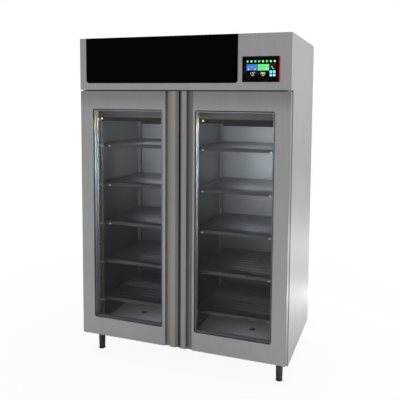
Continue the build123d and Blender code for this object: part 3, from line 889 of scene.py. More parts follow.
class Paint:
    """All the finishes of the cabinet."""

    front = BrushedSteel("front_steel")
    # painted shade line along the fascia's outer folds
    fascia = BrushedSteel("fascia_steel", painted_fold=(0.6962, 0.6994), painted_fold_shade=0.72)
    # painted shade along the doors' tops under the fascia, and a painted shade line along their outer folds
    door = BrushedSteel("door_steel", painted_shade_z=1.793, painted_fold=(0.6932, 0.71))
    side = BrushedSteel("side_steel", rough=0.52)
    back = ScrewedSheet("back_steel")
    roof = ScrewedSheet("roof_steel", grain=Grain.ACROSS, half=(0.6988, 0.36), centre=(0.0, 0.034),
                        axes="XY")
    base = BrushedSteel("base_steel", (0.36, 0.36, 0.36), 0.5, Grain.DEEP)
    seam = BrushedSteel("frame_steel", (0.30, 0.30, 0.305), 0.5)
    # painted shade on the handles' slopes and groove floors
    handle = HandleMetal("handle_metal", (0.37, 0.362, 0.34), 0.42, streak=0.03)
    # painted glints: the shelf clips and the runner stops glow a little, as their glints
    glint = Glow("shelf_clip_painted_glint", (0.80, 0.84, 0.86), 0.28, 0.25)
    stop = Glow("runner_stop_painted_glint", (0.58, 0.62, 0.64), 0.15, 0.3)
    # the windows' beads and reveals carry painted light and a warm painted reflection of the bay lamps
    bead = WindowBead("window_bead_metal")
    reveal = WindowBead("window_reveal_metal", (0.25, 0.272, 0.31), (0.36, 0.385, 0.42), (0.62, 0.56, 0.48))
    chrome = PlainMetal("chrome", (0.85, 0.87, 0.9), (0.74, 0.76, 0.8), 0.1, 25)
    # painted glint: the glazing screws glow a little
    screw = Glow("glazing_screw_painted_glint", (0.92, 0.94, 0.98), 0.5, 0.2)
    zinc_plate = PlainMetal("zinc_plate", (0.62, 0.62, 0.6), (0.5, 0.5, 0.48), 0.3, 60)
    copper = PlainMetal("copper_pipe", (0.72, 0.34, 0.19), (0.42, 0.2, 0.12), 0.28, 22)
    brass = PlainMetal("brass_fitting", (0.72, 0.55, 0.28), (0.5, 0.38, 0.2), 0.3, 40)
    # painted shade low down and on the side walls of the bays
    liner = LinerSteel("liner_sheet", (0.48, 0.51, 0.53), 0.38, metal=0.6, streak=0.02)
    bay_case = BrushedSteel("evaporator_sheet", (0.34, 0.36, 0.37), 0.36, Grain.ACROSS, 0.6)
    rack = BrushedSteel("rack_steel", (0.30, 0.30, 0.29), 0.35, metal=0.6, streak=0.04)
    runner = BrushedSteel("runner_steel", (0.30, 0.32, 0.34), 0.3, Grain.DEEP, 0.6)
    shelf = BrushedSteel("shelf_steel", (0.14, 0.154, 0.166), 0.34, Grain.ACROSS, 0.7, 0.06)
    baffle = BrushedSteel("baffle_sheet", (0.26, 0.26, 0.265), 0.4, Grain.ACROSS, 0.7)
    # the black of the rail and the strip that are put where the shadow under each evaporator falls
    grille = Moulded("shadow_band_grille_plastic", (0.022, 0.021, 0.020), (0.04, 0.038, 0.036), 0.5)
    zinc = Galvanised("galvanised_sheet")
    black_gloss = Gloss(
        "black_panel_gloss", (0.0008, 0.0008, 0.0009), (0.0014, 0.0014, 0.0016), (0.14, 0.2), 0.015, 3, 2.0
    )
    # drifts of painted reflection, which glow a little
    screen = ScreenFace("screen_face")
    housing = Housing("screen_housing_plastic", (0.003, 0.003, 0.0035), (0.006, 0.006, 0.007), sheen=0.04)
    plastic = Moulded("black_plastic_moulded")
    strip = Moulded("lamp_strip_body", (0.035, 0.034, 0.032), (0.06, 0.058, 0.054), 0.4)
    leg = Moulded("leg_plastic_moulded", (0.030, 0.030, 0.031), (0.05, 0.05, 0.051), 0.36)
    rubber = Moulded("door_rubber", (0.045, 0.046, 0.048), (0.07, 0.07, 0.07), 0.6, sheen=0.3)
    enamel = Moulded("compressor_enamel", (0.012, 0.012, 0.013), (0.03, 0.03, 0.03), 0.28)
    foam = Moulded("insulation_foam", (0.62, 0.54, 0.36), (0.5, 0.42, 0.26), 0.8, 350, 0.0004)
    glass = Gloss("clear_pane", (0.03, 0.04, 0.045), (0.05, 0.06, 0.065), (0.02, 0.05), 0.5, 5, 3.0, 0.07)
    # painted shade in the gaps between the fins
    fins = FinStack("fin_stack")
    cable = Moulded("cable_sheath", (0.03, 0.03, 0.03), (0.05, 0.05, 0.05), 0.5)
    grey_box = Moulded("enclosure_plastic", (0.33, 0.34, 0.35), (0.28, 0.29, 0.3), 0.5)
    seal = Moulded("window_seal", (0.055, 0.055, 0.06), (0.075, 0.075, 0.08), 0.5, sheen=0.3)
    lens_off = Glow("lamp_lens_off", (0.20, 0.19, 0.17), 0.15)
    lens_warm = Glow("lamp_lens_warm", (1.0, 0.66, 0.38), 1.6)
    screen_green = Glow("screen_green", (0.10, 0.62, 0.16), 0.9)
    screen_pale = Glow("screen_pale", (0.62, 0.95, 0.62), 0.9)
    screen_blue = Glow("screen_blue", (0.03, 0.13, 0.48), 0.8)
    screen_cyan = Glow("screen_cyan", (0.16, 0.62, 0.82), 0.9)
    screen_white = Glow("screen_white", (0.9, 0.9, 0.9), 0.9)
    screen_line = Glow("screen_line", (0.10, 0.26, 0.42), 0.8)
    screen_amber = Glow("screen_amber", (0.55, 0.42, 0.02), 0.7)


def settle(name: str, parts: Sequence[Piece], finish: Finish, body: str = "cabinet") -> None:
    """Joins parts into a piece, and gives it its body and its finish.

    Args:
        name: the piece's name.
        parts: what it is joined of.
        finish: what it is finished in.
        body: the body that it rides on.
    """
    piece = join(name, parts)
    finish.on(piece)
    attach(piece, body)
    log.info("%s: %d faces on %s", name, len(piece.data.polygons), body)


def twins(name: str, parts: Sequence[Piece], finish: Finish, body: str = "cabinet",
          inner: bool = False) -> None:
    """Settles right-hand parts as one piece, and their mirror image as its left-hand twin.

    Args:
        name: the name that the two share.
        parts: what the right-hand piece is joined of.
        finish: what they are finished in.
        body: the body that they ride on, with {} for the side.
        inner: whether the other wall of the bay gets the same parts.
    """
    right = join(f"{name}_right", parts)
    if inner:
        right = join(right.name, [right, copy_of(right, "inner", (2 * BAY_X, 0, 0), mirror=True)])
    left = copy_of(right, f"{name}_left", mirror=True)
    for side, piece in (("right", right), ("left", left)):
        settle(f"{name}_{side}", [piece], finish, body.format(side))


# The studio


@dataclass
class Studio:
    """A pale floor, soft lamps, an even surround and the camera."""

    eye: Point = (1.2714, -3.3039, 1.7333)
    turn: float = 18.534
    tilt: float = -4.622
    roll: float = 0.590
    focal: float = 513.32  # in pixels, as the two below
    middle: Pair = (223.62, 143.0)
    picture: float = 400.0
    cool: Colour = (0.94, 0.97, 1.0)
    warm: Colour = (1.0, 0.62, 0.32)
    # name, place, aim, size and power of the lamps round the cabinet
    soft: tuple[tuple, ...] = (
        ("right_near_softbox", (1.25, 1.0, 0.03), (0.7, 0.0, 0.35), (1.9, 0.06), 2.0),
        ("right_far_softbox", (1.9, 2.3, 0.12), (0.7, 0.0, 0.3), (1.8, 0.24), 3.2),
        ("right_wash", (4.2, 0.4, 1.4), (0.7, 0.0, 1.1), (2.4, 2.4), 44),
        ("top_softbox", (0, 0.5, 5.0), (0, 0, 1.0), (4.0, 4.0), 70),
    )
    # the same of the cool lamps in each bay, with their places told from the middle of its width
    bay: tuple[tuple, ...] = (
        ("ceiling", (0.1, -0.28, 1.615), (0.1, 0.22, 1.4), (0.4, 0.02), 2.2),
        *((z, (0.09, -0.22, z), (0.16, 0.32, z), (0.26, 0.09), power) for z, power in (
            (0.31, 0.22), (0.5, 0.42), (0.765, 0.85), (1.03, 2.0), (1.295, 3.5), (1.515, 1.8)
        )),
    )
    # the lamp over each bay's floor, with its power on the left and the right
    foot: tuple[tuple, ...] = ((0, -0.1, 0.345), (0, 0.0, 0.1), (0.5, 0.36))
    foot_power: Pair = (0.36, 0.26)
    # the small warm lamp, with its place on the left and the right
    puck: tuple[tuple, ...] = ((0, -0.301, 1.608), (-0.01, -0.37, 1.6), (0.01, 0.01))
    puck_power: float = 0.1
    puck_x: Pair = (-0.606, 0.126)
    # height, length and power of the beams along each window, which lie at one depth
    beams: Route = ((0.5, 0.36, 0.057), (0.95, 0.46, 0.1805), (1.28, 0.2, 0.1045), (1.52, 0.22, 0.1805))
    beam_x: float = 0.358
    beam_ends: Pair = (0.246, -0.2)
    beam_y: float = -0.362
    beam_width: float = 0.03
    beam_spread: float = 0.8

    def camera(self) -> None:
        """Sets up the camera at the photograph's angle."""
        yaw, pitch, roll = (math.radians(angle) for angle in (self.turn, self.tilt, self.roll))
        ahead = Vector((-math.sin(yaw) * math.cos(pitch), math.cos(yaw) * math.cos(pitch), math.sin(pitch)))
        level = Vector((math.cos(yaw), math.sin(yaw), 0))
        up = level.cross(ahead)
        right = math.cos(roll) * level + math.sin(roll) * up
        top = -math.sin(roll) * level + math.cos(roll) * up
        data = bpy.data.cameras.new("camera")
        data.sensor_width = 36.0
        data.lens = self.focal / self.picture * data.sensor_width
        data.shift_x = 0.5 - self.middle[0] / self.picture
        data.shift_y = self.middle[1] / self.picture - 0.5
        data.clip_start = 0.05
        data.clip_end = 200
        camera = bpy.data.objects.new("camera", data)
        facing_it = Matrix((right, top, -ahead)).transposed().to_4x4()
        camera.matrix_world = Matrix.Translation(self.eye) @ facing_it
        bpy.context.scene.collection.objects.link(camera)
        bpy.context.scene.camera = camera

    def surround(self) -> None:
        """Lights the scene evenly, white to the eye and calmer ahead of the doors for gloss."""
        world = bpy.data.worlds.new("surround")
        bpy.context.scene.world = world
        net = Nodes(world, "Background", "Generated")
        lean = net.math("MULTIPLY_ADD", net.axis("X"), 0.75, net.axis("Y"))
        gloss = net.spread(lean, -0.6, 0.7, 0.66, 0.98)
        unseen = net.spread(net.add("LightPath", {}, "Is Glossy Ray"), 0.0, 1.0, 0.62, gloss)
        net.set(Strength=net.spread(net.seen(), 0.0, 1.0, unseen, 1.0), Color=(1, 1, 1))

    def floor(self) -> None:
        """Lays a wide white floor that keeps a soft shadow."""
        alone()
        bpy.ops.mesh.primitive_plane_add(size=80)
        floor = take_new("studio_floor")
        floor.data.materials.append(bpy.data.materials.new("studio_floor_white"))
        net = Nodes(floor.data.materials[0])
        net.set(Base_Color=(0.9, 0.9, 0.9), Roughness=0.9, Specular_IOR_Level=0.0)
        reach = net.add("VectorMath", {0: net.place}, "Value", operation="LENGTH")
        share = net.math("MULTIPLY", net.seen(), net.spread(reach, 0.8, 3.2, 0.93, 1.0))
        white = net.add("Emission", {"Strength": 1.0})
        mixed = net.add("MixShader", {0: share, 1: net.face.outputs[0], 2: white})
        net.fill(net.tree.nodes["Material Output"].inputs["Surface"], mixed)

    def lamp(self, name: str, place: Point, aim: Point, size: Pair, power: float,
             colour: Colour = (1, 1, 1), glossy: bool = True) -> bpy.types.AreaLight:
        """Hangs a soft rectangular lamp.

        Args:
            name: the lamp's name.
            place: where it stands.
            aim: the point that it faces.
            size: its width and height.
            power: its power in watts.
            colour: the colour of its light.
            glossy: whether it is mirrored in what shines.

        Returns:
            The lamp's light.
        """
        data = bpy.data.lights.new(name, "AREA")
        data.shape = "RECTANGLE"
        data.size, data.size_y = size
        data.energy = power
        data.color = colour
        lamp = bpy.data.objects.new(name, data)
        lamp.location = place
        lamp.rotation_euler = (Vector(aim) - Vector(place)).to_track_quat("-Z", "Y").to_euler()
        lamp.visible_camera = False
        lamp.visible_glossy = glossy
        bpy.context.scene.collection.objects.link(lamp)
        return data

    def lamps(self) -> None:
        """Hangs the studio's lamps and the small lamps of the bays."""
        for row in self.soft:
            self.lamp(*row)
        self.lamp("compartment_lamp", (0.1, -0.1, 2.122), (0.1, -0.06, 1.8), (1.1, 0.3), 4.0, glossy=False)
        for (side, sign), power, puck_x in zip(SIDES.items(), self.foot_power, self.puck_x):
            rows = [(BAY_X * sign, row, self.cool) for row in (*self.bay, ("foot", *self.foot, power))]
            rows.append((puck_x, ("puck", *self.puck, self.puck_power), self.warm))
            for x, (name, *spots, size, watts), colour in rows:
                ends = ((x + across, y, z) for across, y, z in spots)
                self.lamp(f"{side}_bay_{name}", *ends, size, watts, colour, glossy=False)
            for z, reach, watts in self.beams:
                ends = ((self.beam_x * sign + way, self.beam_y, z) for way in self.beam_ends)
                size = (self.beam_width, reach)
                beam = self.lamp(f"{side}_window_{z}", *ends, size, watts, self.cool)
                beam.spread = self.beam_spread

    def build(self) -> None:
        """Sets up the whole studio."""
        self.camera()
        self.surround()
        self.floor()
        self.lamps()


# The cabinet


class Assembly:
    """A sub-assembly: what its nodes of the frame wear, and the pieces that are added to them."""

    wears: ClassVar[dict[str, Finish]] = {}

    def build(self) -> None:
        """Finishes the nodes, whose names may hold wildcards, and makes the pieces."""
        for pattern, finish in self.wears.items():
            for node in fnmatch.filter(frame["nodes"], pattern):
                finish.on(frame["nodes"][node])
                log.info("%s wears %s", node, finish.name)
        self.pieces()

    def pieces(self) -> None:
        """Makes the pieces that the CAD doesn't have."""
        raise NotImplementedError


@dataclass
class CabinetShell(Assembly):
    """The outer sheets, the base, the machine deck and the vents of the back."""

    wears: ClassVar[dict[str, Finish]] = {
        "side_*": Paint.side, "back_panel": Paint.back, "roof_panel": Paint.roof, "base_panel": Paint.base,
        "front_frame": Paint.seam, "machine_deck": Paint.zinc, "body_foam": Paint.foam,
        "power_inlet": Paint.plastic,
    }
    blade: Form = Form(
        (-0.079, 0.3818, -0.001), (0.079, 0.3934, 0.0),
        ((shift_edges, lambda a, b: max(a.y, b.y) < 0.383, (0, 0, 0.009)),), 0.0003,
    )
    vent_x: tuple[float, ...] = (-0.28, 0.0, 0.28)
    vent_z: float = 1.8958
    vent_pitch: float = 0.02
    vent_count: int = 9
    pin: Form = Form((-0.001, -0.016, -0.002), (0.001, -0.001, 0.002), (), 0.0004)
    pin_places: tuple[Pair, ...] = ((-0.007, 0.002), (0.007, 0.002), (0.0, -0.004))

    def pieces(self) -> None:
        """Sets a slanting blade behind each slot of the back, and three blades into the power inlet."""
        levels = [self.vent_z + self.vent_pitch * k for k in range(self.vent_count)]
        blades = self.blade.make((x, 0, z) for x in self.vent_x for z in levels)
        settle("vent_louvres", blades, Paint.back)
        low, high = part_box("power_inlet")
        middle = (low + high) / 2
        pins = self.pin.make((middle.x + x, high.y, middle.z + z) for x, z in self.pin_places)
        settle("inlet_pins", pins, Paint.brass)


@dataclass
class Doors(Assembly):
    """The two glazed doors with their handles, beads, screws, gaskets and hinges."""

    wears: ClassVar[dict[str, Finish]] = {
        "door_skin_*": Paint.door, "door_back_*": Paint.liner, "door_foam_*": Paint.foam,
        "door_glazing_frame_*": Paint.reveal, "door_glass_*": Paint.glass, "door_gasket_*": Paint.rubber,
        "door_handle_*": Paint.handle, "hinge_brackets": Paint.front,
    }
    body: str = "{}_door"
    window_x: Pair = (0.108, 0.608)
    window_z: Pair = (0.280, 1.678)
    # name, gap to the opening, width, front, rear, round, slot and finish of each frame in the windows
    frames: tuple[tuple, ...] = (
        ("seal", 0.0002, 0.0062, -0.3862, -0.3822, 0.0004, "gasket", Paint.seal),
        ("bead_front", 0.0066, 0.0052, -0.3857, -0.3787, 0.0024, "bright_trim", Paint.bead),
        ("bead_rear", 0.0002, 0.0056, -0.3458, -0.3378, 0.0026, "bright_trim", Paint.bead),
    )
    dome_y: float = -0.3735
    dome_reach: Pair = (-0.0002, 0.0022)
    dome_radius: float = 0.0046
    dome_round: float = 0.0018
    dome_z: tuple[float, ...] = (0.710, 0.953, 1.191, 1.443)
    screw: Form = Form(
        (0, -0.3322, 0), (0, -0.3304, 0),
        ((inset, facing(0, 1, 0), 0.0016, 0.0), (inset, facing(0, 1, 0, 0.001), 0.0006, -0.0008)),
        0.0004, radius=0.0042, sides=20,
    )
    screw_x: Pair = (0.086, 0.6185)
    screw_z: float = 0.245
    screw_pitch: float = 0.2075
    screw_count: int = 8
    bushes: tuple[Form, ...] = tuple(
        Form((0.680, -0.374, start), (0.680, -0.374, end),
             ((inset, lambda c, n: abs(n.z) > 0.9, 0.0012, 0.0),), 0.0003, radius=0.0088)
        for start, end in ((1.793, 1.7946), (0.160, 0.1584))
    )

    def window_frames(self) -> None:
        """Sets each window's dark seal behind its outer pane, and the bright beads before and behind it."""
        for name, gap, width, front, rear, edge, slot, finish in self.frames:
            (x0, x1), (z0, z1) = ((low + gap, high - gap) for low, high in (self.window_x, self.window_z))
            bars = [
                soften(block("bar", (left, front, foot), (right, rear, top)), edge, 3)
                for left, foot, right, top in (
                    (x0, z0, x0 + width, z1), (x1 - width, z0, x1, z1),
                    (x0, z0, x1, z0 + width), (x0, z1 - width, x1, z1),
                )
            ]
            twins(f"window_{name}", bars, finish, self.body)

    def glazing_screws(self) -> None:
        """Sets four polished dome screws down each upright of the windows' bright frames, which glow as a
        painted glint.
        """
        heads = []
        for x, way in zip(self.window_x, (1, -1)):
            ends = ((x + reach * way, self.dome_y, 0) for reach in self.dome_reach)
            rim = (round_edges, lambda a, b: abs(a.x - b.x) < 1e-5 and (a.x - x) * way > 0.001,
                   self.dome_round)
            dome = Form(*ends, (rim, (smooth, 50)), radius=self.dome_radius, sides=24)
            heads += dome.make((0, 0, z) for z in self.dome_z)
        twins("glazing_screws", heads, Paint.screw, self.body)

    def pieces(self) -> None:
        """Makes the windows' pieces, the screws of the inner sheets and the bushes on the hinge pins."""
        self.window_frames()
        self.glazing_screws()
        levels = [self.screw_z + self.screw_pitch * k for k in range(self.screw_count)]
        screws = self.screw.make((x, 0, z) for x in self.screw_x for z in levels)
        twins("door_back_screws", screws, Paint.zinc_plate, self.body)
        bushes = [bush.make()[0] for bush in self.bushes]
        twins("hinge_bushes", bushes, Paint.plastic, self.body)


@dataclass
class Fascia(Assembly):
    """The fascia with its black panel and the touch screen's picture."""

    wears: ClassVar[dict[str, Finish]] = {
        "fascia_panel": Paint.fascia, "black_panel": Paint.black_gloss, "screen_housing": Paint.housing,
        "touch_screen": Paint.screen, "fascia_pivots": Paint.zinc_plate,
    }
    glass_y: float = -0.3943
    tile_depth: float = 0.00012
    digit_size: float = 1.4  # against the height of the figures
    digit_space: float = 1.05
    digit_depth: float = 0.00008
    digit_gap: float = 0.0001
    # name, finish, corners, layer and places of the screen's tiles: left edge, foot, width and height
    tiles: tuple[tuple, ...] = (
        ("lamps", Paint.screen_green, 4, 0, [(432.5 + 23.1 * k, 1961.5, 12, 12) for k in range(8)]),
        ("lamp_cores", Paint.screen_pale, 2.6, 1, [(435.5 + 23.1 * k, 1964.5, 6, 6) for k in (1, 4, 6, 7)]),
        ("field_blue", Paint.screen_blue, 2, 0, [(433, 1915, 67.5, 36)]),
        ("field_green", Paint.screen_green, 2, 0, [(501.5, 1915, 66.5, 36)]),
        ("keys", Paint.screen_cyan, 5, 0,
         [(x, z, 16, 15.5) for x in (570.5, 590) for z in (1880.5, 1899.5)]),
        ("lines", Paint.screen_line, 1, 1,
         [(439, 1938, 55, 2.5), (439, 1932, 41, 2), (508, 1938, 52, 2.5), (508, 1932, 40, 2)]),
        ("marks", Paint.screen_amber, 1.5, 0,
         [(462, 1884, 16, 4.5), (524, 1884, 17, 4.5), (587, 1923, 11, 5)]),
    )
    # text, left end, foot line and height of the numbers, in millimetres as the tiles
    numbers: tuple[tuple, ...] = (
        ("1.5°", 455, 1893, 12), ("78%", 517, 1893, 12), ("16", 577, 1931, 9),
        ("80", 440, 1919, 7), ("35", 478, 1919, 7), ("12", 545, 1919, 7),
    )

    def tile(self, corner: float, layer: int, place: tuple[float, ...]) -> Piece:
        """Makes a thin tile on the screen.

        Args:
            corner: the radius of its corners in millimetres.
            layer: how many tiles it lies on.
            place: its left edge, foot, width and height.

        Returns:
            The tile.
        """
        x, z, width, height = (size * MM for size in place)
        front = self.glass_y - self.tile_depth * (layer + 1)
        tile = block("tile", (x, front, z), (x + width, self.glass_y, z + height))
        round_edges(tile, lambda a, b: abs(a.y - b.y) > 0.00005, corner * MM)
        return tile

    def number(self, text: str, x: float, z: float, height: float) -> Piece:
        """Sets a number on the screen as a thin mesh.

        Args:
            text: the number.
            x: the left end of its foot line in millimetres.
            z: the height of that line.
            height: the number's own height.

        Returns:
            The number.
        """
        alone()
        bpy.ops.object.text_add()
        piece = bpy.context.active_object
        piece.data.body = text
        piece.data.size = height * MM * self.digit_size
        piece.data.extrude = self.digit_depth
        piece.data.space_character = self.digit_space
        alone(piece)
        bpy.ops.object.convert(target="MESH")
        piece.rotation_euler = (math.radians(90), 0, 0)
        piece.location = (x * MM, self.glass_y - self.digit_gap, z * MM)
        return take_new("number")

    def pieces(self) -> None:
        """Lays out the screen's marks: a row of lamps, two fields, four keys, lines and numbers."""
        for name, finish, corner, layer, places in self.tiles:
            tiles = [self.tile(corner, layer, place) for place in places]
            settle(f"screen_{name}", tiles, finish, "fascia")
        numbers = [self.number(*row) for row in self.numbers]
        settle("screen_numbers", numbers, Paint.screen_white, "fascia")


@dataclass
class Bays(Assembly):
    """The two bays with their liners, racks, shelves, lamps and evaporators."""

    wears: ClassVar[dict[str, Finish]] = {
        "liner_*": Paint.liner, "rack_uprights": Paint.rack, "shelf_runners": Paint.runner,
        "lamp_strips": Paint.strip, "evaporator_cases": Paint.bay_case, "evaporator_coils": Paint.fins,
        "evaporator_fan_*": Paint.plastic, "floor_drains": Paint.liner, "shelf_*_?": Paint.shelf,
    }
    shelf_z: tuple[float, ...] = tuple(0.355 + 0.266667 * k for k in range(5))
    lens: Form = Form((0.6136, -0.3175, 0.262), (0.616, -0.3085, 1.664), (), 0.0008, 3)
    bridge: Form = Form((0.6128, -0.3185, 0.282), (0.616, -0.3075, 0.294), (), 0.0005)
    bridge_pitch: float = 0.266667 / 8
    bridge_count: int = 41
    puck_x: Pair = (-0.5995, 0.1265)
    puck_z: float = 1.6115
    puck_rim: float = 0.0014
    # name, rear, front, radius, sides, rise of its face, slot and finish of a small lamp's parts
    puck: tuple[tuple, ...] = (
        ("cup", -0.2925, -0.297, 0.0068, 28, 0.0012, "bright_trim", Paint.chrome),
        ("lens", -0.2935, -0.2997, 0.0056, 24, 0.0008, "lamp", Paint.lens_warm),
    )
    stop: Form = Form((0.5875, -0.3208, 0.0114), (0.609, -0.3182, 0.0172), (), 0.001, 3)
    clip: Form = Form(
        (-0.0065, -0.2728, -0.0008), (0.0065, -0.2692, 0.0088),
        ((round_edges, lambda a, b: abs(a.y - b.y) > 0.001, 0.003, 3),), 0.0008,
    )
    clip_x: float = 0.222
    bead: Form = Form(
        (0.6235, 0.3185, 0.206), (0.6235, 0.3185, 1.724), ((smooth,),), radius=0.004, sides=16
    )
    baffle: Form = Form(
        (0.0512, -0.2968, 1.6235), (0.6238, -0.2956, 1.7245),
        ((cut, 1.6247), (cut, 1.6365), (cut, 1.6385),
         (extrude, lambda c, n: n.y > 0.9 and c.z < 1.6246, (0, 0.014, 0)),
         (inset, lambda c, n: n.y < -0.9 and 1.6366 < c.z < 1.6384, 0.0, -0.0005)), 0.0004,
    )
    # a black slotted rail and a black slotted strip, dark pieces put where the shadow under each evaporator
    # falls
    rail: Form = Form(
        (0.0685, -0.2935, 1.5965), (0.6065, -0.2825, 1.6236),
        ((inset, facing(0, 0, -1), 0.0022, -0.003), (inset, facing(0, -1, 0), 0.003, -0.0008)), 0.0006,
    )
    rib: Form = Form((0.078, -0.2937, 1.5975), (0.0796, -0.2832, 1.6005), (), 0.0003, 1)
    rib_pitch: float = 0.02
    rib_count: int = 27
    grille: Form = Form(
        (0.058, 0.3135, 1.552), (0.617, 0.3195, 1.594), ((inset, facing(0, -1, 0), 0.004, -0.002),), 0.0008
    )
    slat: Form = Form(
        (0.0625, 0.3125, 1.5595), (0.6125, 0.3165, 1.5611),
        ((shift_edges, lambda a, b: max(a.y, b.y) < 0.313, (0, 0, -0.0016)),), 0.0003, 1,
    )
    slat_pitch: float = 0.0062
    slat_count: int = 5
    drain: Form = Form(
        (0.405, -0.0682, 0.2071), (0.405, -0.0682, 0.2083),
        ((inset, facing(0, 0, 1), 0.003, -0.0004),), 0.0004, radius=0.021, sides=48,
    )
    drain_holes: tuple[tuple[float, int], ...] = ((0.006, 5), (0.0125, 10))  # how far out, and how many
    hole_radius: float = 0.0019
    hole_depth: float = 0.003
    fan: Point = (BAY_X, -0.0302, 1.6265)
    guard_wires: Pair = (0.0012, 0.0014)  # the radius of the wire in its rings and in its spokes
    guard_radii: tuple[float, ...] = (0.022, 0.040, 0.058, 0.076, 0.092)
    guard_spoke: tuple[Pair, ...] = (
        (-0.092, 1.629), (-0.08832, 1.6278), (0, 1.6278), (0.08832, 1.6278), (0.092, 1.629)
    )

    def lenses(self) -> None:
        """Sets the lens with its dark bridges along each lamp strip."""
        twins("lamp_lenses", self.lens.make(), Paint.lens_off, inner=True)
        bridges = self.bridge.make((0, 0, self.bridge_pitch * k) for k in range(self.bridge_count))
        twins("lamp_bridges", bridges, Paint.strip, inner=True)

    def pucks(self) -> None:
        """Sets a small warm lamp in a bright cup on the left end of the dark rail under each bay's baffle.
        """
        for side, x in zip(SIDES, self.puck_x):
            for name, rear, front, radius, sides, rise, slot, finish in self.puck:
                ends = ((x, y, self.puck_z) for y in (rear, front))
                face = (inset, facing(0, -1, 0), self.puck_rim, rise)
                part = Form(*ends, (face,), 0.0006, radius=radius, sides=sides)
                settle(f"puck_{name}_{side}", part.make(), finish)

    def shelf_trims(self) -> None:
        """Caps each shelf runner with a slim stop that glows as a painted glint, and snaps two bright clips
        over each shelf's front, those of the upper three shelves glowing as a painted glint.
        """
        stops = self.stop.make((0, 0, z) for z in self.shelf_z)
        twins("runner_stops", stops, Paint.stop, inner=True)
        for side, sign in SIDES.items():
            for k, z in enumerate(self.shelf_z, 1):
                pair = self.clip.make((BAY_X * sign + x, 0, z) for x in (-self.clip_x, self.clip_x))
                # the clips of the upper three shelves glow as a painted glint
                finish = Paint.glint if k > 2 else Paint.chrome
                settle(f"shelf_clips_{side}_{k}", pair, finish, f"{side}_shelf_{k}")

    def air_baffle(self) -> None:
        """Hangs a folded sheet across each bay's front to turn the cold air down, with a black slotted rail
        under it, a dark piece put where the sheet's shadow falls.
        """
        twins("air_baffle", self.baffle.make(), Paint.baffle)
        ribs = self.rib.make((self.rib_pitch * k, 0, 0) for k in range(self.rib_count))
        twins("shadow_band_rail", self.rail.make() + ribs, Paint.grille)

    def shadow_band_grille(self) -> None:
        """Screws a dark slotted strip to the top of each bay's rear wall, a dark piece put where the shadow
        under the evaporator falls.
        """
        slats = self.slat.make((0, 0, self.slat_pitch * k) for k in range(self.slat_count))
        twins("shadow_band_grille", self.grille.make() + slats, Paint.grille)

    def drain_covers(self) -> None:
        """Drops a round pierced cover into each floor drain."""
        x, y, z = self.drain.low
        plate, = self.drain.make()
        for reach, count in self.drain_holes:
            for k in range(count):
                turn = math.tau * k / count
                spot = (x + reach * math.cos(turn), y + reach * math.sin(turn))
                bore(plate, rod("hole", (*spot, z), (*spot, z + self.hole_depth), self.hole_radius, 12))
        twins("drain_cover", [plate], Paint.plastic)

    def fan_guard(self) -> None:
        """Covers each fan's opening with a wire guard under the evaporator case."""
        (x, y, _), (thin, thick) = self.fan, self.guard_wires
        wires = [ring("ring", self.fan, UP, radius, thin) for radius in self.guard_radii]
        for k in range(4):
            turn = math.radians(45 * k + 22.5)
            route = [(x + r * math.cos(turn), y + r * math.sin(turn), z) for r, z in self.guard_spoke]
            wires.append(tube("spoke", route, thick, 2))
        twins("fan_guard", wires, Paint.chrome)

    def pieces(self) -> None:
        """Makes the bays' pieces, among them a welded bead down each rear corner."""
        self.lenses()
        self.pucks()
        self.shelf_trims()
        twins("corner_beads", self.bead.make(), Paint.chrome, inner=True)
        self.air_baffle()
        self.shadow_band_grille()
        self.drain_covers()
        self.fan_guard()


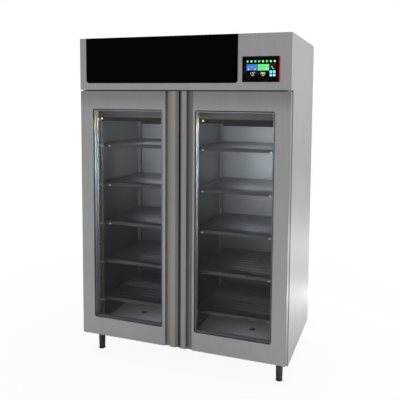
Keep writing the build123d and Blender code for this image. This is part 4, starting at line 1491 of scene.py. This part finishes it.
@dataclass
class MachineCompartment(Assembly):
    """The condensing unit, its pipes and the control box over the bays."""

    wears: ClassVar[dict[str, Finish]] = {
        "condensing_base": Paint.zinc, "compressor": Paint.enamel, "condenser": Paint.fins,
        "fan_shroud": Paint.zinc, "condenser_fan": Paint.plastic, "control_box": Paint.grey_box,
    }
    coil_x: Pair = (-0.530, -0.190)
    coil_y: Pair = (-0.233, -0.169)
    coil_z: Pair = (1.802, 2.052)
    plate_depth: float = 0.0015
    plate_rim: float = 0.0035
    plate_step: float = -0.0006
    bend_radius: float = 0.0042
    bend_in: float = 0.016  # how far the bends stand in from the coil's front, rear and foot
    bend_out: float = 0.013
    bend_pitch: float = 0.025
    bend_count: int = 9
    fan: Point = (-0.360, -0.131, 1.927)
    guard_wires: Pair = (0.0013, 0.0016)  # the radius of the wire in its rings and in its spokes
    guard_radii: tuple[float, ...] = (0.056, 0.070, 0.084, 0.098, 0.112, 0.124)
    guard_spokes: int = 6
    guard_spoke: tuple[Pair, ...] = (
        (0.041, 0.0025), (0.06, 0.0025), (0.1, 0.0025), (0.122, 0.0015), (0.126, -0.003)
    )
    weld: Point = (-0.040, 0.093, 1.925)
    weld_radius: float = 0.0783
    weld_wire: float = 0.0022
    cover: Form = Form(
        (0.026, 0.061, 1.872), (0.068, 0.125, 1.938), ((inset, facing(1, 0, 0), 0.006, 0.003),), 0.004, 3
    )
    cover_clip: Route = (
        (0.03, 0.057, 1.905), (0.074, 0.057, 1.905), (0.074, 0.129, 1.905), (0.03, 0.129, 1.905)
    )
    clip_radius: float = 0.0014
    # the radius and the route of each pipe: discharge, suction and its branch, liquid and its outlet
    pipes: tuple[tuple[float, Route], ...] = (
        (0.0034, ((-0.09, 0.048, 1.99), (-0.125, 0.018, 1.995), (-0.14, -0.007, 2.02), (-0.15, -0.06, 2.06),
                  (-0.17, -0.15, 2.06), (-0.177, -0.201, 2.032), (-0.188, -0.201, 2.022))),
        (0.0047, ((-0.01, 0.155, 1.97), (0.01, 0.193, 1.975), (0.05, 0.233, 1.95), (0.09, 0.243, 1.9),
                  (0.16, 0.22, 1.86), (0.2, 0.2, 1.84), (0.2, 0.2, 1.801))),
        (0.0047, ((-0.2, 0.245, 1.801), (-0.2, 0.245, 1.83), (-0.16, 0.245, 1.845), (-0.05, 0.245, 1.845),
                  (0.08, 0.245, 1.85), (0.148, 0.222, 1.872))),
        (0.0034, ((-0.188, -0.201, 1.83), (-0.165, -0.201, 1.83), (-0.15, -0.16, 1.832),
                  (-0.15, -0.05, 1.84), (-0.15, 0.02, 1.842))),
        (0.0034, ((-0.15, 0.128, 1.842), (-0.15, 0.17, 1.842), (-0.145, 0.2, 1.84), (-0.13, 0.21, 1.82),
                  (-0.13, 0.21, 1.801))),
    )
    drier: Form = Form(
        (-0.15, 0.028, 1.842), (-0.15, 0.12, 1.842),
        ((inset, lambda c, n: abs(n.y) > 0.9, 0.0085, 0.01),), 0.003, 3, 0.0135,
    )
    # the radius and the place of each pipe's grommet in the deck
    grommets: tuple[tuple[float, Point], ...] = (
        (0.009, (0.2, 0.2, 1.8022)), (0.009, (-0.2, 0.245, 1.8022)), (0.007, (-0.13, 0.21, 1.8022))
    )
    grommet_wire: float = 0.0032
    valve_collar: Route = ((-0.07, 0.161, 1.952), (-0.4, 0.9, 0))  # its middle and its axis
    valve_stub: Route = ((-0.066, 0.153, 1.952), (-0.078, 0.181, 1.952), (-0.09, 0.205, 1.956))
    valve_radii: tuple[float, ...] = (0.006, 0.002, 0.0038)  # of the collar, its wire and the stub
    valve_nut: Form = Form((-0.09, 0.205, 1.956), (-0.098, 0.223, 1.958), (), 0.0008, 2, 0.0075, 6)
    lid_in: Point = (0.006, -0.0035, 0.006)
    lid_depth: float = 0.004
    lid_rim: float = 0.016
    lid_step: float = 0.0012
    lid_screw: Form = Form(
        (0, -0.003, 0), (0, -0.0056, 0),
        ((inset, facing(0, -1, 0), 0.0022, 0.0), (inset, facing(0, -1, 0, 0.001), 0.0004, -0.001)),
        0.0004, 1, 0.0044, 24,
    )
    lid_screw_in: float = 0.015
    glands: tuple[Form, ...] = (
        Form((0.001, 0, 0), (-0.006, 0, 0), (), 0.0012, 2, 0.0115, 6),
        Form((-0.005, 0, 0), (-0.017, 0, 0), ((inset, facing(-1, 0, 0), 0.004, -0.002),), 0.002, 3,
             0.0095, 28),
    )
    gland_y: tuple[float, ...] = (-0.240, -0.207, -0.174)
    gland_z: float = 1.838
    # the radius and the route of each wire loom, from its gland to the compressor, the inlet and the fan
    looms: tuple[tuple[float, Route], ...] = (
        (0.0042, ((0.3728, -0.24, 1.838), (0.3228, -0.24, 1.838), (0.3028, -0.24, 1.816),
                  (0.2828, -0.23, 1.806), (0.14, -0.2, 1.806), (0.12, -0.1, 1.806), (0.12, 0.08, 1.806),
                  (0.1, 0.093, 1.816), (0.06, 0.093, 1.84), (0.058, 0.093, 1.875))),
        (0.0046, ((0.3728, -0.207, 1.838), (0.3378, -0.207, 1.838), (0.3228, -0.207, 1.816),
                  (0.3128, -0.177, 1.806), (0.29, 0.1, 1.806), (0.27, 0.32, 1.806), (0.2, 0.352, 1.806),
                  (-0.2, 0.352, 1.806), (-0.48, 0.352, 1.806), (-0.53, 0.352, 1.816),
                  (-0.5488, 0.352, 1.85), (-0.5488, 0.352, 1.88), (-0.5488, 0.374, 1.89))),
        (0.0036, ((0.3728, -0.174, 1.838), (0.3428, -0.174, 1.838), (0.3278, -0.174, 1.816),
                  (0.3128, -0.154, 1.806), (0.22, -0.06, 1.806), (0.14, -0.04, 1.806),
                  (0.09, -0.035, 1.812), (0.06, -0.03, 1.825), (-0.2, -0.03, 1.825),
                  (-0.33, -0.045, 1.84), (-0.36, -0.055, 1.87), (-0.36, -0.072, 1.9))),
    )
    loom_clip: Form = Form(
        (-0.004, 0.3425, 1.7999), (0.004, 0.3615, 1.8114),
        ((round_edges, lambda a, b: abs(a.x - b.x) > 0.001 and a.z > 1.81, 0.005),), 0.0006, 1,
    )
    loom_clip_x: tuple[float, ...] = (0.12, -0.04, -0.20, -0.36)

    def coil_ends(self) -> None:
        """Adds the condenser's end plates and the copper return bends at both of its ends."""
        plates, bends = [], []
        (front, rear), (low, high) = self.coil_y, self.coil_z
        for x, way, lift in zip(self.coil_x, (-1, 1), (0.0, self.bend_pitch / 2)):
            face = (inset, facing(way, 0, 0), self.plate_rim, self.plate_step)
            end = (x + self.plate_depth * way, rear, high)
            plates += Form((x, front, low), end, (face,), 0.0004, 1).make()
            out, z = x + self.bend_out * way, low + self.bend_in + lift
            near, far = front + self.bend_in, rear - self.bend_in
            route = [(x, near, z), (out, near, z), (out, far, z), (x, far, z)]
            bend = tube("bend", route, self.bend_radius, 1)
            bends += repeat(bend, [(0, 0, self.bend_pitch * k) for k in range(self.bend_count)])
        settle("condenser_end_plates", plates, Paint.zinc)
        settle("condenser_bends", bends, Paint.copper)

    def wire_guard(self) -> None:
        """Covers the condenser fan with a wire guard on the shroud's rear."""
        (x, y, z), (thin, thick) = self.fan, self.guard_wires
        wires = [ring("ring", self.fan, (0, 1, 0), radius, thin, 56) for radius in self.guard_radii]
        for k in range(self.guard_spokes):
            turn = math.tau * k / self.guard_spokes
            way = (math.cos(turn), math.sin(turn))
            route = [(x + r * way[0], y + back, z + r * way[1]) for r, back in self.guard_spoke]
            wires.append(tube("spoke", route, thick, 1))
        settle("condenser_guard", wires, Paint.enamel)

    def compressor_parts(self) -> None:
        """Adds the compressor's weld, and its terminal cover with its clip."""
        weld = ring("weld", self.weld, UP, self.weld_radius, self.weld_wire, 64)
        settle("compressor_weld", [weld], Paint.enamel)
        settle("terminal_cover", self.cover.make(), Paint.plastic)
        clip = tube("clip", self.cover_clip, self.clip_radius, 1)
        settle("terminal_clip", [clip], Paint.zinc_plate)

    def refrigerant_pipes(self) -> None:
        """Runs the copper pipes between the compressor, the condenser, the drier and the bays."""
        pipes = [tube("pipe", route, radius) for radius, route in self.pipes]
        settle("refrigerant_pipes", pipes, Paint.copper)
        settle("filter_drier", self.drier.make(), Paint.copper)
        grommets = [
            ring("grommet", place, UP, radius, self.grommet_wire, 28) for radius, place in self.grommets
        ]
        settle("pipe_grommets", grommets, Paint.rubber)
        radius, wire, stub_radius = self.valve_radii
        collar = ring("collar", *self.valve_collar, radius, wire, 24)
        stub = tube("stub", self.valve_stub, stub_radius)
        settle("service_valve", [*self.valve_nut.make(), stub, collar], Paint.brass)

    def control_box_parts(self) -> None:
        """Gives the control box its lid, its screws and the glands that the wires come through."""
        low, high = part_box("control_box")
        dx, dy, dz = self.lid_in
        step, middle = self.lid_step, (low.x + high.x) / 2
        near = (low.x + dx, low.y + dy, low.z + dz)
        lid = block("lid", near, (high.x - dx, near[1] + self.lid_depth, high.z - dz))
        inset(lid, facing(0, -1, 0), self.lid_rim, 0.0)
        inset(lid, lambda c, n: n.y < -0.9 and abs(c.x - middle) < 0.01, step, -step)
        settle("control_lid", [soften(lid, step)], Paint.grey_box)
        gap = self.lid_screw_in
        places = [(x, low.y, z) for x in (low.x + gap, high.x - gap) for z in (low.z + gap, high.z - gap)]
        settle("control_lid_screws", self.lid_screw.make(places), Paint.zinc_plate)
        places = [(low.x, y, self.gland_z) for y in self.gland_y]
        glands = [part for form in self.glands for part in form.make(places)]
        settle("control_glands", glands, Paint.plastic)

    def wiring(self) -> None:
        """Clips the wire looms to the deck."""
        looms = [tube("loom", route, radius, 2) for radius, route in self.looms]
        settle("wire_looms", looms, Paint.cable)
        clips = self.loom_clip.make((x, 0, 0) for x in self.loom_clip_x)
        settle("loom_clips", clips, Paint.plastic)

    def pieces(self) -> None:
        """Makes the compartment's pieces."""
        self.coil_ends()
        self.wire_guard()
        self.compressor_parts()
        self.refrigerant_pipes()
        self.control_box_parts()
        self.wiring()


@dataclass
class Legs(Assembly):
    """The four legs with their feet."""

    wears: ClassVar[dict[str, Finish]] = {"legs": Paint.leg, "foot_*": Paint.leg}
    ends: tuple[str, ...] = ("front_left", "front_right", "rear_left", "rear_right")
    places: Route = ((-0.634, -0.262, 0), (0.634, -0.262, 0), (-0.634, 0.330, 0), (0.634, 0.330, 0))
    collars: tuple[Form, ...] = (
        Form((0, 0, 0.116), (0, 0, 0.124), (), 0.0015, 3, 0.0246, 40),
        Form((0, 0, 0.0285), (0, 0, 0.0325), (), 0.0015, 3, 0.0216, 40),
    )
    bolt: Form = Form(
        (0, 0, 0.1262), (0, 0, 0.1215), ((inset, facing(0, 0, -1), 0.0016, 0.0),), 0.0005, 2, 0.0058, 6
    )
    bolt_gap: float = 0.029
    sleeve_z: Pair = (0.0058, 0.0272)
    sleeve_radius: float = 0.0204
    sleeve_sides: int = 48
    groove: Pair = (0.0004, -0.0007)  # the rim and the depth of the grooves between its ribs
    rib_angle: float = 7.5

    def ribbed(self, centre: Vector, normal: Vector) -> bool:
        """Whether a face of a sleeve lies in a groove, by the way that it looks."""
        step = math.degrees(math.atan2(normal.y, normal.x)) / self.rib_angle
        return abs(normal.z) < 0.1 and round(step) % 2 == 0

    def sleeves(self) -> None:
        """Fills each foot's neck with a ribbed sleeve that is gripped to turn it."""
        for end, (x, y, _) in zip(self.ends, self.places):
            ends = [(x, y, z) for z in self.sleeve_z]
            sleeve = rod("sleeve", *ends, self.sleeve_radius, self.sleeve_sides)
            inset(sleeve, self.ribbed, *self.groove)
            soften(sleeve, 0.0004, angle=50)
            settle(f"foot_sleeve_{end}", [sleeve], Paint.leg, f"{end}_foot")

    def pieces(self) -> None:
        """Puts two turned collars and four bolts on each leg, and a sleeve in each foot."""
        collars = [part for collar in self.collars for part in collar.make(self.places)]
        settle("leg_collars", collars, Paint.leg)
        gaps = (-self.bolt_gap, self.bolt_gap)
        bolts = self.bolt.make((x + dx, y + dy, 0) for x, y, _ in self.places for dx in gaps for dy in gaps)
        settle("leg_bolts", bolts, Paint.zinc_plate)
        self.sleeves()


def main() -> None:
    """Builds the studio and the cabinet in order."""
    logging.basicConfig(level=logging.INFO, format="%(message)s")
    for assembly in (Studio(), CabinetShell(), Doors(), Fascia(), Bays(), MachineCompartment(), Legs()):
        assembly.build()
        log.info("%s is built", type(assembly).__name__)
    bpy.context.scene.view_settings.view_transform = "Standard"


if __name__ == "__main__":
    main()
